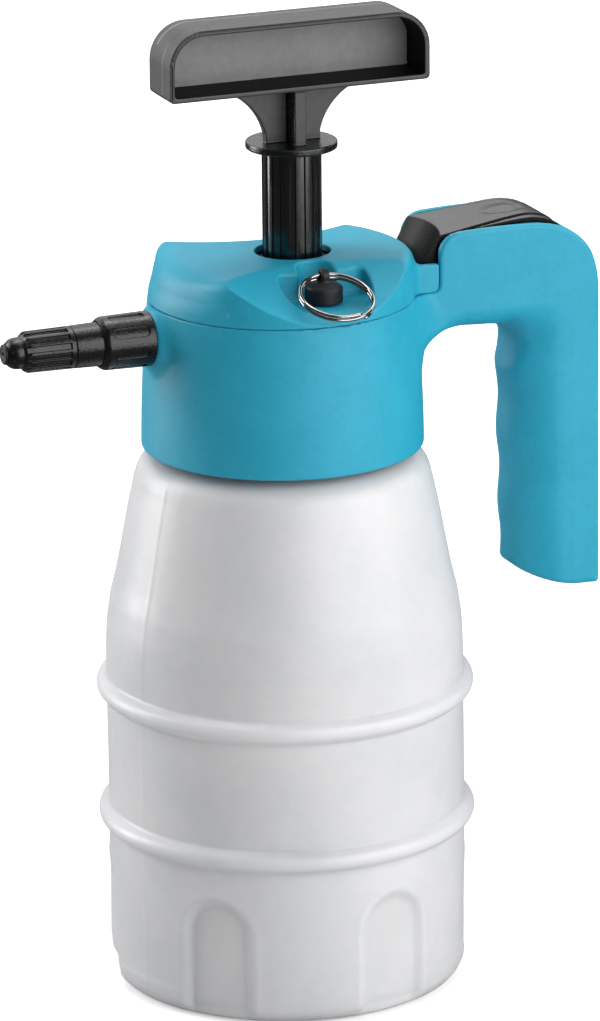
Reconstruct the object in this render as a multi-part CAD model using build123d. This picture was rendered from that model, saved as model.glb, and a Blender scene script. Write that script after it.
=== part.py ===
from build123d import *
import math
import os

# Hand-held pump (compression) sprayer, about 1 litre: blow-moulded tank, screw-on head with a
# hollow pistol handle, T-handle air pump through the head, thumb trigger on top of the handle,
# adjustable spray nozzle opposite the handle, and a pull-ring relief valve.
# Millimetres. Origin: centre of the tank's resting face. +Z up, +X from nozzle to handle.

# ---- dimensions shared by several pieces ----
# Tank neck, and the thread that holds the head
R_NECK, R_NECK_BORE, NECK_TOP = 29.0, 26.5, 180.0
THREAD_PITCH, THREAD_TURNS, THREAD_Z = 6.0, 1.4, 166.0
THREAD_ROOT, THREAD_CREST = 2.6, 1.4    # ridge widths

# Head, cover and handle
WALL = 2.2
PART_Z, R_PART = 205.7, 38.8            # joint between head and cover
DECK_Z0, DECK_Z1 = 181.5, 184.0
HANDLE_HALF, CHEEK = 15.5, 2.4          # half width and side wall of the handle
SLOT_HALF = HANDLE_HALF - CHEEK

# Vertical axes (x, y)
TANK_AXIS = (0, 0)
PUMP = (3.6, 0)
RELIEF = (3.6, -24.0)
DIP = (22.2, 0)
TRIGGER_POST = (63.0, 0)

# Pump
R_BARREL, R_BARREL_BORE = 12.4, 11.0
R_SLIDE = R_BARREL_BORE - 0.05          # what sits in the barrel bore
R_FLANGE = 14.6
BARREL_Z0, BARREL_TOP, FLANGE_TOP = 88.0, 205.0, 206.4
R_ROD, R_ROD_BORE, R_SPIGOT = 8.7, 6.0, 5.0
PISTON_Z0, PISTON_TOP = 125.0, 137.0    # at rest, with the handle part raised
GROOVE_Z0, GROOVE_Z1, R_GROOVE = 129.0, 132.6, 8.9
DISC_Z = 249.4                          # underside of the handle's stop disc at rest

# Trigger and its valve, which lies along X
VALVE_Z = 200.0
OUTLET_X = 31.0
PLUG_X0, PLUG_X1, R_PLUG = 19.0, 21.0, 3.6
POPPET_X0, POPPET_X1 = 25.0, 27.0
GLAND_X0, GLAND_X1, R_GLAND, R_GLAND_BORE = 38.0, 40.2, 3.0, 1.56
VALVE_FOOT_Z = 185.5
R_DIP, DIP_TOP = 2.6, 180.5
PIVOT = (50.0, 214.0)                   # x, z
R_PIN, R_PIN_HOLE, R_POST = 1.5, 1.55, 2.3

# Nozzle, which lies along X
NOZZLE_Z = 197.3
SPIGOT_X, COLLAR_X = -47.0, -48.0
O_RING_X0, O_RING_X1, R_O_RING_SEAT = -70.0, -68.0, 3.5
TIP_X0, TIP_X1 = -79.0, -77.2           # flange of the tip

# Relief valve
RELIEF_TOP, R_RELIEF_TUBE = 204.0, 4.4
RELIEF_SEAT_Z0, RELIEF_SEAT_Z1, RELIEF_SPRING_Z0, RELIEF_SPRING_Z1 = DECK_Z1, 185.5, 186.5, 202.0
R_RELIEF_HOLE, R_RELIEF_STEM, RELIEF_STEM_TOP = 1.3, 1.2, 212.4
EYE_Z = 216.8


# ---- helpers ----
def path_face(start, steps):
    """Closed face in the XZ plane. steps: (x, z) line, ((mx, mz), (x, z)) arc, or list spline."""
    def point(pair):
        return Vector(pair[0], 0, pair[1])

    edges, here = [], start
    for step in steps:
        if isinstance(step, list):
            edges.append(Edge.make_spline([point(here)] + [point(pair) for pair in step]))
            here = step[-1]
        elif isinstance(step[0], tuple):
            edges.append(Edge.make_three_point_arc(point(here), point(step[0]), point(step[1])))
            here = step[1]
        else:
            edges.append(Edge.make_line(point(here), point(step)))
            here = step
    if here != start:
        edges.append(Edge.make_line(point(here), point(start)))
    return Face(Wire(edges))


def turned(start, steps):
    """Revolved about Z. Points are (r, z)."""
    return Solid.revolve(path_face(start, steps), 360, Axis.Z)


def nozzle_turned(start, steps):
    """Revolved about the nozzle axis. Points are (x, r)."""
    return Pos(0, 0, NOZZLE_Z) * Solid.revolve(path_face(start, steps), 360, Axis.X)


def cylinder_on(frame, length, outer, inner=0.0):
    """Cylinder or tube standing on a frame, along the frame's Z."""
    align = (Align.CENTER, Align.CENTER, Align.MIN)
    body = frame * Cylinder(outer, length, align=align)
    if inner:
        body -= frame * Pos(0, 0, -1) * Cylinder(inner, length + 2, align=align)
    return body


def tube(axis, z0, z1, outer, inner=0.0):
    return cylinder_on(Pos(axis[0], axis[1], z0), z1 - z0, outer, inner)


def tube_x(x0, x1, z, outer, inner=0.0):
    return cylinder_on(Pos(x0, 0, z) * Rot(0, 90, 0), x1 - x0, outer, inner)


def rod_y(y0, y1, x, z, radius):
    return cylinder_on(Pos(x, y0, z) * Rot(-90, 0, 0), y1 - y0, radius)


def box(x0, x1, y0, y1, z0, z1):
    return Pos((x0 + x1) / 2, (y0 + y1) / 2, (z0 + z1) / 2) * Box(x1 - x0, y1 - y0, z1 - z0)


def slab(face, y0, y1):
    """Extrudes an XZ face from y0 to y1."""
    return Pos(0, y0, 0) * extrude(face, amount=y1 - y0, dir=(0, 1, 0))


def wire_helix(pitch, height, radius, wire):
    path = Helix(pitch, height, radius)
    return sweep(Plane(origin=path @ 0, z_dir=path % 0) * Circle(wire), path=path, is_frenet=True)


def spring(length, radius, wire, turns):
    """Round-wire spring along Z from the origin; the length includes the wire at both ends."""
    height = length - 2 * wire
    return Pos(0, 0, wire) * wire_helix(height / turns, height, radius, wire)


def thread(radius, depth, z0, angle, side):
    """Ridge on a cylinder; side is 1 for an outside thread and -1 for an inside one."""
    path = Helix(THREAD_PITCH, THREAD_PITCH * THREAD_TURNS, radius)
    root, crest = THREAD_ROOT / 2, THREAD_CREST / 2
    section = [(-0.6, -root), (depth, -crest), (depth, crest), (-0.6, root)]
    points = [Vector(radius + side * out, 0, z) for out, z in section]
    face = Face(Wire.make_polygon(points, close=True))
    return Rot(0, 0, angle) * Pos(0, 0, z0) * sweep(face, path=path, is_frenet=True)


def around_pump(radius, count, start=0.0):
    """Evenly spaced (x, y) places on a circle about the pump axis."""
    angles = [start + 2 * math.pi * k / count for k in range(count)]
    return [(PUMP[0] + radius * math.cos(a), radius * math.sin(a)) for a in angles]


def cut_flutes(body, count, x, out, radius, length):
    """Cuts round grooves along X, centred at x, in a circle about the nozzle axis."""
    for k in range(count):
        turn = Pos(0, 0, NOZZLE_Z) * Rot(360 / count * k, 0, 0)
        body -= turn * Pos(x, 0, out) * Rot(0, 90, 0) * Cylinder(radius, length)
    return body


# ---- tank ----
R_TANK, TANK_WALL = 52.4, 1.6
R_TANK_IN = R_TANK - TANK_WALL
SHOULDER_Z = 106.0
BEAD_HEIGHTS, R_BEAD = (50.2, 89.4), 55.3
ARCHES, ARCH_ANGLE = 6, -75.0           # arched foot panels and the angle of the first
ARCH_HALF, ARCH_TOP = 10.6, 37.0


def hoop_bead(z):
    flank = R_TANK + 2.0
    return [(R_TANK, z - 3.2), (flank, z - 1.3), ((R_BEAD, z), (flank, z + 1.3)), (R_TANK, z + 3.2)]


def foot_arch(x, half, top):
    """Round-topped block reaching outward from x."""
    spring_z, z0 = top - half, -3.0
    face = Face(Wire([
        Edge.make_line((x, -half, z0), (x, half, z0)),
        Edge.make_line((x, half, z0), (x, half, spring_z)),
        Edge.make_three_point_arc((x, half, spring_z), (x, 0, top), (x, -half, spring_z)),
        Edge.make_line((x, -half, spring_z), (x, -half, z0))]))
    return extrude(face, amount=8, dir=(1, 0, 0))


def tank():
    outer = turned((0, 3.2), [
        (36, 3.2), (41, 0), (47.4, 0), ((50.94, 1.46), (R_TANK, 5.0)),
        *hoop_bead(BEAD_HEIGHTS[0]), *hoop_bead(BEAD_HEIGHTS[1]),
        (R_TANK, SHOULDER_Z), [(51.6, 112.0), (49.9, 120.6), (49.0, 124.3)], (43.3, 152.8),
        ((42.0, 156.3), (38.4, 158.6)), (33.0, 160.0),
        (R_NECK, 160.4), (R_NECK, NECK_TOP), (0, NECK_TOP)])
    inner = turned((0, 4.8), [
        (36.4, 4.8), (41.4, 1.7), (47.2, 1.7), ((49.8, 2.8), (R_TANK_IN, 5.4)),
        (R_TANK_IN, SHOULDER_Z), [(49.9, 112.0), (48.2, 120.6), (47.3, 124.3)], (41.6, 152.6),
        ((40.4, 155.2), (37.6, 157.0)), (33.0, 158.2),
        (R_NECK_BORE, 158.8), (R_NECK_BORE, NECK_TOP + 1), (0, NECK_TOP + 1)])
    for k in range(ARCHES):
        turn = Rot(0, 0, ARCH_ANGLE + 360 / ARCHES * k)
        outer -= turn * foot_arch(50.35, ARCH_HALF, ARCH_TOP)
        inner -= turn * foot_arch(48.7, ARCH_HALF + TANK_WALL, ARCH_TOP + TANK_WALL)
    body = outer - inner
    body += thread(R_NECK, depth=2.2, z0=THREAD_Z, angle=0.0, side=1)
    return body


def neck_seal():
    return tube(TANK_AXIS, NECK_TOP, DECK_Z0, 30.4, 26.9)


# ---- head body: skirt, deck, bosses and hollow handle ----
SKIRT_Z0, R_SKIRT = 161.6, 41.2         # lower edge
R_DECK = 40.6                           # outside radius at the deck
R_UPPER, UPPER_Z = 39.9, 195.0
R_SLEEVE = 31.7                         # bore of the threaded sleeve
SLEEVE_THREAD_ANGLE = 36.0
GRIP_TOP = 191.0                        # below this the handle is rounded in plan
GRIP_Z0 = 100.0

# Half plan of the rounded finger side of the grip: x, y
NOSE = [(66.9, 0.0), (67.3, 4.0), (68.7, 8.0), (71.5, 11.2), (75.0, 13.6), (79.0, 15.0),
        (83.0, HANDLE_HALF)]
# Heights of the spline points along the finger side
FINGER_HEIGHTS = (121.0, 128.0, 134.0, 139.5, 145.0, 150.5, 156.0, 161.5, 167.0, 172.5,
                  178.5, 184.0, 188.5)


def finger_x(z):
    """Leaning finger side with shallow waves."""
    top_x, top_z, lean, wave, wave_pitch = 67.3, 178.5, 0.024, 0.45, 22.3
    down = top_z - z
    return top_x + lean * down + wave * (1 - math.cos(2 * math.pi * down / wave_pitch))


def grip_plan(shift, width_scale):
    """Grip block: rounded toward the fingers, flat sided behind."""
    points = [(x + shift, -y * width_scale) for x, y in reversed(NOSE)]
    points += [(x + shift, y * width_scale) for x, y in NOSE[1:]]
    (x_end, half), x_back = points[-1], 102
    face = Face(Wire([
        Edge.make_spline([Vector(x, y, 0) for x, y in points]),
        Edge.make_line((x_end, half, 0), (x_back, half, 0)),
        Edge.make_line((x_back, half, 0), (x_back, -half, 0)),
        Edge.make_line((x_back, -half, 0), (x_end, -half, 0))]))
    return Pos(0, 0, GRIP_Z0) * extrude(face, amount=GRIP_TOP - GRIP_Z0, dir=(0, 0, 1))


def handle_block():
    fingers = [(finger_x(z), z) for z in FINGER_HEIGHTS]
    block = slab(path_face((30.0, PART_Z), [
        (43.4, PART_Z), (43.4, 214.9), ((45.74, 220.56), (51.4, 222.9)), (76.5, 223.1),
        ((88.6, 218.1), (93.6, 206.1)), (94.1, 112.2), ((93.8, 111.3), (93.0, 111.1)),
        [(86.0, 111.6), (79.0, 113.0), (73.0, 115.2), (70.6, 117.2), fingers[0]],
        fingers[1:], ((66.4, 192.6), (62.5, 194.0)), (48.0, 194.0),
        ((42.5, 191.6), (40.6, 186.0)), (30.0, 184.0)]), -HANDLE_HALF, HANDLE_HALF)
    return (block & box(20, 100, -20, 20, GRIP_TOP, 230)) + (block & grip_plan(0, 1.0))


def head_body():
    body = turned((0, SKIRT_Z0), [
        (R_SKIRT - 0.6, SKIRT_Z0), ((R_SKIRT - 0.17, SKIRT_Z0 + 0.18), (R_SKIRT, SKIRT_Z0 + 0.7)),
        [(41.0, 172.0), (R_DECK, DECK_Z1), (R_UPPER, UPPER_Z), (R_PART, PART_Z)], (0, PART_Z)])
    body += handle_block()

    # hollow the skirt below and above the deck
    body -= turned((0, SKIRT_Z0 - 1), [
        (R_SKIRT - WALL, SKIRT_Z0 - 1), (R_SKIRT - WALL, 172.0), (R_DECK - WALL, DECK_Z0),
        (0, DECK_Z0)])
    body -= turned((0, DECK_Z1), [
        (R_DECK - WALL, DECK_Z1), (R_UPPER - WALL, UPPER_Z), (R_PART - WALL, PART_Z + 1),
        (0, PART_Z + 1)])

    # hollow the handle: open slot for the trigger on top, grip open at its lower end
    slot = slab(path_face((34.0, 196.4), [
        (34.0, 230.0), (84.8, 230.0), (84.8, 217.2), (88.4, 212.6), (91.0, 206.0), (91.6, 105.0),
        (74.0, 105.0), (72.6, 186.0), (68.0, 196.4)]), -SLOT_HALF, SLOT_HALF)
    body -= slot & box(20, 100, -20, 20, GRIP_TOP - 0.1, 240)
    body -= slot & grip_plan(2.6, SLOT_HALF / HANDLE_HALF)

    # threaded sleeve, pump boss, relief valve tube, dip tube socket
    body += tube(TANK_AXIS, 164.6, DECK_Z1, 34.2, R_SLEEVE)
    thread_z = THREAD_Z - 2.05 + THREAD_PITCH * SLEEVE_THREAD_ANGLE / 360
    body += thread(R_SLEEVE, depth=2.0, z0=thread_z, angle=SLEEVE_THREAD_ANGLE, side=-1)
    body += tube(PUMP, DECK_Z0, BARREL_TOP, R_FLANGE)
    body += tube(RELIEF, DECK_Z1 - 0.5, RELIEF_TOP, R_RELIEF_TUBE)
    body += tube(DIP, 171.5, 190.0, 4.1)
    body -= tube(PUMP, 170, 210, R_BARREL + 0.1)
    body -= tube(RELIEF, DECK_Z1, 210.0, 3.3)
    body -= tube(RELIEF, 175.0, 190.0, R_RELIEF_HOLE)
    body -= tube(DIP, 170.0, DIP_TOP, R_DIP)
    body -= tube(DIP, 179.0, 187.0, 1.4)
    body -= tube(DIP, VALVE_FOOT_Z, 191.0, R_DIP)
    body -= tube_x(33.0, 41.7, VALVE_Z, 5.1)

    # nozzle boss with its bored spigot
    bore = 3.1
    body += nozzle_turned((-35.9, bore), [
        (-35.9, 8.3), (-40.0, 8.3), ((-40.7, 8.0), (-41.0, 7.3)), (-41.0, 6.9), (SPIGOT_X, 6.9),
        (SPIGOT_X, bore)])
    body -= tube_x(-50.0, -30.0, NOZZLE_Z, bore)

    # pin sockets in the cheeks, spring post on the slot floor
    body -= rod_y(-14.3, 14.3, *PIVOT, R_PIN_HOLE)
    body += tube(TRIGGER_POST, 196.0, 200.0, R_POST)
    return body


# ---- top cover ----
COVER_Z, COVER_SKIN = 218.8, 2.0        # flat top
COVER_SPLIT_X = 3.0                     # softer rim on the -X side, crisper on the +X side
LIP_TOP = 213.9                         # top of the block that meets the handle
SCOOP_R, SCOOP_TILT, SCOOP_Y = 60.0, math.radians(27.6), 15.0
POCKET_LENGTH, POCKET_WIDTH, POCKET_FLOOR, POCKET_WALL = 38.0, 19.0, 208.6, 1.8


def dome(inset, top):
    radius = R_PART - inset
    foot = [(radius, PART_Z - inset)]
    if inset:
        foot.append((radius, PART_Z))
    start = (0, PART_Z - inset)
    soft = turned(start, foot + [
        (37.3 - inset, 211.4), ((34.9 - inset, 216.7 - inset), (29.6 - inset, top)), (0, top)])
    crisp = turned(start, foot + [
        (36.3 - inset, 215.6 - inset), ((35.5 - inset, 217.9 - inset), (33.5 - inset, top)),
        (0, top)])
    return ((soft & box(-60, COVER_SPLIT_X, -60, 60, 200, 230))
            + (crisp & box(COVER_SPLIT_X, 60, -60, 60, 200, 230)))


def scoops(radius):
    """Two side cylinders, sloping down and out from the middle strip."""
    cos_tilt, sin_tilt = math.cos(SCOOP_TILT), math.sin(SCOOP_TILT)
    cutters = []
    for side in (-1, 1):
        normal = Vector(0, side * sin_tilt, cos_tilt)
        centre = Vector(PUMP[0], side * SCOOP_Y, COVER_Z) + normal * SCOOP_R
        frame = Plane(origin=centre, z_dir=(0, side * cos_tilt, -sin_tilt))
        cutters.append(frame * Cylinder(radius, 220))
    return cutters


def pocket_block(floor, grow):
    """Slot-shaped block around the relief valve, kept clear of the pump."""
    plan = SlotOverall(POCKET_LENGTH + 2 * grow, POCKET_WIDTH + 2 * grow).face()
    block = Pos(RELIEF[0] + 2.4, -23.4, floor) * extrude(plan, amount=20, dir=(0, 0, 1))
    return block - tube(PUMP, 200, 230, 12.6 - grow)


def top_cover():
    body = dome(0, COVER_Z)
    lip = path_face((26.0, PART_Z), [
        (41.8, PART_Z), ((42.77, 206.1), (43.15, 207.1)), (43.15, 213.0),
        ((42.9, 213.65), (42.3, LIP_TOP)), (26.0, LIP_TOP)])
    body += (slab(lip, -HANDLE_HALF, HANDLE_HALF)
             - box(34.0, 60, -SLOT_HALF, SLOT_HALF, 190, 230))
    # close the -X end of the slot again with the round wall
    wall_half = SLOT_HALF + 0.5
    body += dome(0, COVER_Z) & box(33.0, 60, -wall_half, wall_half, 200, LIP_TOP)
    for scoop in scoops(SCOOP_R):
        body -= scoop
    hollow = dome(WALL, COVER_Z - COVER_SKIN)
    for scoop in scoops(SCOOP_R + COVER_SKIN):
        hollow -= scoop
    hollow -= pocket_block(POCKET_FLOOR - COVER_SKIN, POCKET_WALL)
    body -= hollow
    body -= pocket_block(POCKET_FLOOR, 0)
    body -= tube(PUMP, 200, 230, 10.5)
    body -= tube(RELIEF, 200, 215, 2.0)
    return body


# ---- pump ----
def pump_cylinder():
    body = (tube(PUMP, BARREL_Z0, BARREL_TOP, R_BARREL)
            + tube(PUMP, BARREL_TOP, FLANGE_TOP, R_FLANGE))
    body -= tube(PUMP, BARREL_Z0 + 2.5, 210.0, R_BARREL_BORE)
    body -= tube(PUMP, 80.0, 100.0, 1.6)
    for place in around_pump(5.2, 4, start=math.pi / 4):
        body -= tube(place, 80.0, 100.0, 1.1)
    return body


def check_valve():
    return (tube(PUMP, 86.4, BARREL_Z0, 8.0) + tube(PUMP, 87.5, 91.6, 1.5)
            + tube(PUMP, 91.6, 92.6, 2.3))


def pump_guide():
    bore = R_ROD + 0.1
    return (tube(PUMP, 198.0, FLANGE_TOP, R_SLIDE, bore)
            + tube(PUMP, FLANGE_TOP, 216.5, 10.2, bore))


def piston():
    radius = 10.6
    body = (tube(PUMP, PISTON_Z0, PISTON_TOP, radius, R_SPIGOT + 0.1)
            + tube(PUMP, PISTON_Z0, PISTON_Z0 + 2.0, radius))
    body -= tube(PUMP, GROOVE_Z0, GROOVE_Z1, 12.0, R_GROOVE)
    return body


def piston_seal():
    return tube(PUMP, GROOVE_Z0, GROOVE_Z1, R_SLIDE, R_GROOVE)


def pump_rod():
    body = tube(PUMP, PISTON_TOP, DISC_Z, R_ROD)
    for place in around_pump(9.25, 18):
        body -= tube(place, PISTON_TOP + 4, 245.0, 1.05)
    body -= tube(PUMP, PISTON_TOP + 3, 260.0, R_ROD_BORE)
    body += tube(PUMP, 127.2, PISTON_TOP + 1, R_SPIGOT)
    return body


# ---- T-handle ----
BAR_X0, BAR_X1, BAR_Z0, BAR_Z1, BAR_HALF = -36.1, 43.1, 267.9, 287.9, 8.35
BAR_CROWN = 10.7                        # reach of the upper corners
BAR_RIM = 1.6


def bar_face(rim, foot, foot_mid, crown_mid):
    """Bar outline inset by rim. foot: reach of the lower corners; the mid values place the
    middle of each corner arc, from the inset edges below and the bar's own edges above."""
    x0, x1, z0, z1 = BAR_X0 + rim, BAR_X1 - rim, BAR_Z0 + rim, BAR_Z1 - rim
    crown_z, mid_z = BAR_Z1 - BAR_CROWN, BAR_Z1 - crown_mid
    return path_face((x0 + foot, z0), [
        (x1 - foot, z0), ((x1 - foot_mid, z0 + foot_mid), (x1, z0 + foot)),
        (x1, crown_z), ((BAR_X1 - crown_mid, mid_z), (BAR_X1 - BAR_CROWN, z1)),
        (BAR_X0 + BAR_CROWN, z1), ((BAR_X0 + crown_mid, mid_z), (x0, crown_z)),
        (x0, z0 + foot), ((x0 + foot_mid, z0 + foot_mid), (x0 + foot, z0))])


def t_handle():
    bar = slab(bar_face(0.0, foot=1.5, foot_mid=0.44, crown_mid=3.13), -BAR_HALF, BAR_HALF)
    # the kernel may refuse this fillet; the bar then keeps sharp +Y edges
    try:
        back = bar.edges().filter_by_position(Axis.Y, BAR_HALF - 0.01, BAR_HALF + 0.01)
        bar = fillet(back, 1.0)
    except Exception:
        pass
    bar -= slab(bar_face(BAR_RIM, foot=1.0, foot_mid=0.3, crown_mid=4.26),
                -BAR_HALF - 1, -BAR_HALF + 13.0)
    # crossed webs between the stop disc and the bar
    x, web_z0, web_z1 = PUMP[0], 251.3, BAR_Z0 + 0.3
    web = slab(path_face((x - 8.2, web_z0), [
        (x + 8.2, web_z0), (x + 8.2, 254.0), ((x + 11.5, 262.5), (x + 21.5, web_z1)),
        (x - 21.5, web_z1), ((x - 11.5, 262.5), (x - 8.2, 254.0))]), -1.5, 1.5)
    web += box(x - 1.8, x + 1.8, -8.0, 8.0, web_z0, web_z1)
    return (bar + web + tube(PUMP, DISC_Z, 251.5, 13.3)
            + tube(PUMP, 236.0, DISC_Z + 0.5, R_ROD_BORE - 0.1, 4.0))


# ---- trigger valve ----
def valve_body():
    body = (tube_x(PLUG_X0, 41.0, VALVE_Z, 5.0) + tube(DIP, VALVE_FOOT_Z, VALVE_Z, R_DIP)
            + rod_y(0, 9.8, OUTLET_X, VALVE_Z, 1.6))
    # stepped bore along X: x0, x1, radius
    for x0, x1, radius in ((18.0, 27.5, R_PLUG), (27.0, 30.0, 2.2), (29.5, 36.0, 2.6),
                           (35.0, 42.0, R_GLAND_BORE), (GLAND_X0, GLAND_X1, R_GLAND)):
        body -= tube_x(x0, x1, VALVE_Z, radius)
    body -= tube(DIP, 180.0, VALVE_Z, 1.3)
    body -= rod_y(1.0, 13.0, OUTLET_X, VALVE_Z, 0.9)
    return body


def valve_plug():
    return tube_x(PLUG_X0, PLUG_X1, VALVE_Z, R_PLUG)


def gland_seal():
    return tube_x(GLAND_X0, GLAND_X1, VALVE_Z, R_GLAND, R_GLAND_BORE)


def valve_stem():
    return tube_x(23.0, 47.4, VALVE_Z, 1.5) + tube_x(POPPET_X0, POPPET_X1, VALVE_Z, 3.2)


def poppet_seal():
    return tube_x(POPPET_X1, 27.5, VALVE_Z, 3.1, 1.5)


def valve_spring():
    coil = spring(POPPET_X0 - PLUG_X1, radius=2.5, wire=0.35, turns=3.0)
    return Pos(PLUG_X1, 0, VALVE_Z) * Rot(0, 90, 0) * coil


# ---- dip tube, hose ----
def dip_tube():
    return tube(DIP, 8.0, DIP_TOP, R_DIP, 1.6)


def dip_filter():
    z0, z1, radius = 5.6, 16.0, 4.4
    body = (tube(DIP, z0, z1, radius, 3.2) + tube(DIP, z0, 6.8, radius)
            + tube(DIP, 14.0, z1, radius, R_DIP))
    for k in range(6):
        body -= Pos(*DIP, 10.2) * Rot(0, 0, 60 * k) * Pos(4.0, 0, 0) * Box(3.0, 1.6, 5.2)
    return body


def bent_line(points, radii):
    """Straight runs joined by tangent arcs."""
    points = [Vector(*point) for point in points]
    edges, here = [], points[0]
    for corner, radius, following in zip(points[1:-1], radii, points[2:]):
        before, after = (corner - here).normalized(), (following - corner).normalized()
        half = before.get_angle(after) * math.pi / 360
        reach = radius * math.tan(half)
        arc_start, arc_end = corner - before * reach, corner + after * reach
        inward = (after - before).normalized()
        middle = corner + inward * (radius / math.cos(half) - radius)
        edges += [Edge.make_line(here, arc_start),
                  Edge.make_three_point_arc(arc_start, middle, arc_end)]
        here = arc_end
    return Wire(edges + [Edge.make_line(here, points[-1])])


def outlet_hose():
    start, side_y, turn_x = (OUTLET_X, 6.2, VALVE_Z), 26.0, -20.5
    line = bent_line([start, (OUTLET_X, side_y, VALVE_Z), (turn_x, side_y, NOZZLE_Z),
                      (turn_x, 0.0, NOZZLE_Z), (-33.5, 0.0, NOZZLE_Z)], radii=[16.0, 14.0, 6.3])
    section = Plane(origin=start, z_dir=(0, 1, 0)) * (Circle(2.5) - Circle(1.65))
    return sweep(section, path=line)


# ---- nozzle ----
def nozzle_pipe():
    return nozzle_turned((-27.2, 0.8), [
        (-27.2, 1.6), (-33.6, 1.6), (-33.6, 3.0), (COLLAR_X, 3.0), (COLLAR_X, 6.95),
        (-50.0, 6.95), (-50.0, 6.5), (-54.0, 6.45), (-65.0, 6.15), (-65.0, 4.4),
        (O_RING_X1, 4.4), (O_RING_X1, R_O_RING_SEAT), (O_RING_X0, R_O_RING_SEAT),
        (O_RING_X0, 4.4), (-74.0, 4.4), (-74.0, 0.8)])


def pipe_seal():
    return tube_x(COLLAR_X, SPIGOT_X, NOZZLE_Z, 6.8, 3.2)


def union_nut():
    body = nozzle_turned((-41.1, 7.0), [
        (-41.1, 7.8), (-41.5, 8.0), (-55.0, 7.8), (-57.0, 6.8), (-57.0, 6.6), (-50.1, 6.6),
        (-50.1, 7.0)])
    return cut_flutes(body, count=12, x=-48.6, out=8.25, radius=0.75, length=9.0)


def nozzle_o_ring():
    return tube_x(O_RING_X0, O_RING_X1, NOZZLE_Z, 4.75, R_O_RING_SEAT)


def nozzle_cap():
    body = nozzle_turned((-65.2, 4.8), [
        (-65.2, 6.15), (-79.0, 6.0), (-80.4, 5.0), (-81.0, 4.9), (-81.0, 4.7), (-82.0, 4.6),
        ((-83.1, 4.1), (-83.6, 3.0)), (-83.6, 2.9), (TIP_X0, 2.9), (TIP_X0, 4.0), (TIP_X1, 4.0),
        (TIP_X1, 4.8)])
    return cut_flutes(body, count=14, x=-72.6, out=6.65, radius=0.95, length=12.4)


def nozzle_tip():
    return nozzle_turned((TIP_X1, 0.5), [
        (TIP_X1, 3.95), (TIP_X0, 3.95), (TIP_X0, 2.85), (-84.8, 2.85), (-85.6, 2.2),
        (-85.6, 0.5)])


def swirl_core():
    body = tube_x(-77.1, -74.8, NOZZLE_Z, 4.2) + tube_x(-75.0, -70.5, NOZZLE_Z, 0.72)
    return cut_flutes(body, count=3, x=-76.0, out=3.4, radius=0.5, length=4.0)


# ---- trigger ----
TRIGGER_HALF, TRIGGER_WALL = 12.6, 2.0


def trigger_lever():
    outside = path_face((40.6, 209.0), [
        (39.9, 213.2), (44.4, 221.9),
        [(52.0, 223.5), (61.0, 224.9), (69.8, 226.2), (76.0, 225.6), (80.8, 222.4), (83.7, 219.4)],
        (83.2, 217.4), (79.0, 216.0), (60.0, 212.0), (55.0, 209.0)])
    inside = path_face((43.6, 208.0), [
        (43.0, 213.2), (46.4, 219.9), (52.0, 221.5), (61.0, 222.9), (69.8, 224.1),
        (75.4, 223.4), (80.6, 219.6), (80.4, 208.0)])
    inside_half = TRIGGER_HALF - TRIGGER_WALL
    body = slab(outside, -TRIGGER_HALF, TRIGGER_HALF) - slab(inside, -inside_half, inside_half)
    arm = slab(path_face((46.6, 214.0), [
        (47.9, 201.5), ((50.5, 197.0), (53.1, 201.5)), (54.0, 214.0), (52.4, 222.0),
        (47.6, 222.0)]), -4.0, 4.0)
    body += arm & box(40, 60, -5, 5, 190, 221.0)
    body += rod_y(-TRIGGER_HALF, TRIGGER_HALF, *PIVOT, 3.6)
    body += tube(TRIGGER_POST, 217.0, 223.4, R_POST)
    body -= rod_y(-20, 20, *PIVOT, R_PIN_HOLE)
    return body


def trigger_pin():
    return rod_y(-14.2, 14.2, *PIVOT, R_PIN)


def trigger_spring():
    return Pos(*TRIGGER_POST, 196.4) * spring(26.6, radius=3.1, wire=0.45, turns=7.0)


# ---- relief valve ----
def relief_retainer():
    return (tube(RELIEF, RELIEF_SPRING_Z1, RELIEF_TOP, 3.25, R_RELIEF_HOLE)
            + tube(RELIEF, RELIEF_TOP, 205.2, R_RELIEF_TUBE, R_RELIEF_HOLE))


def relief_seal():
    return tube(RELIEF, RELIEF_SEAT_Z0, RELIEF_SEAT_Z1, 2.8)


def relief_stem():
    return (tube(RELIEF, RELIEF_SEAT_Z1, RELIEF_SPRING_Z0, 3.0)
            + tube(RELIEF, 186.0, RELIEF_STEM_TOP, R_RELIEF_STEM))


def relief_spring():
    coil = spring(RELIEF_SPRING_Z1 - RELIEF_SPRING_Z0, radius=2.1, wire=0.35, turns=6.0)
    return Pos(*RELIEF, RELIEF_SPRING_Z0) * coil


def relief_knob():
    x, y = RELIEF
    knob = Pos(x, y, 0) * turned((0, 209.6), [
        (5.2, 209.6), (5.3, 209.9), (5.3, 212.0), ((4.95, 212.7), (4.2, 213.1)), (2.6, 213.7),
        ((1.85, 214.0), (1.6, 214.8)), (1.6, 216.0), (0, 216.0)])
    eye_frame = Pos(x, y, EYE_Z) * Rot(0, 90, 0)
    eye = eye_frame * Cylinder(2.25, 3.3)
    eye = eye + box(x - 1.5, x + 1.5, y - 1.6, y + 1.6, 214.4, EYE_Z)
    knob = knob + eye - eye_frame * Cylinder(1.4, 6.0)
    knob -= tube(RELIEF, 209.0, RELIEF_STEM_TOP, R_RELIEF_STEM)
    return knob


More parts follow.
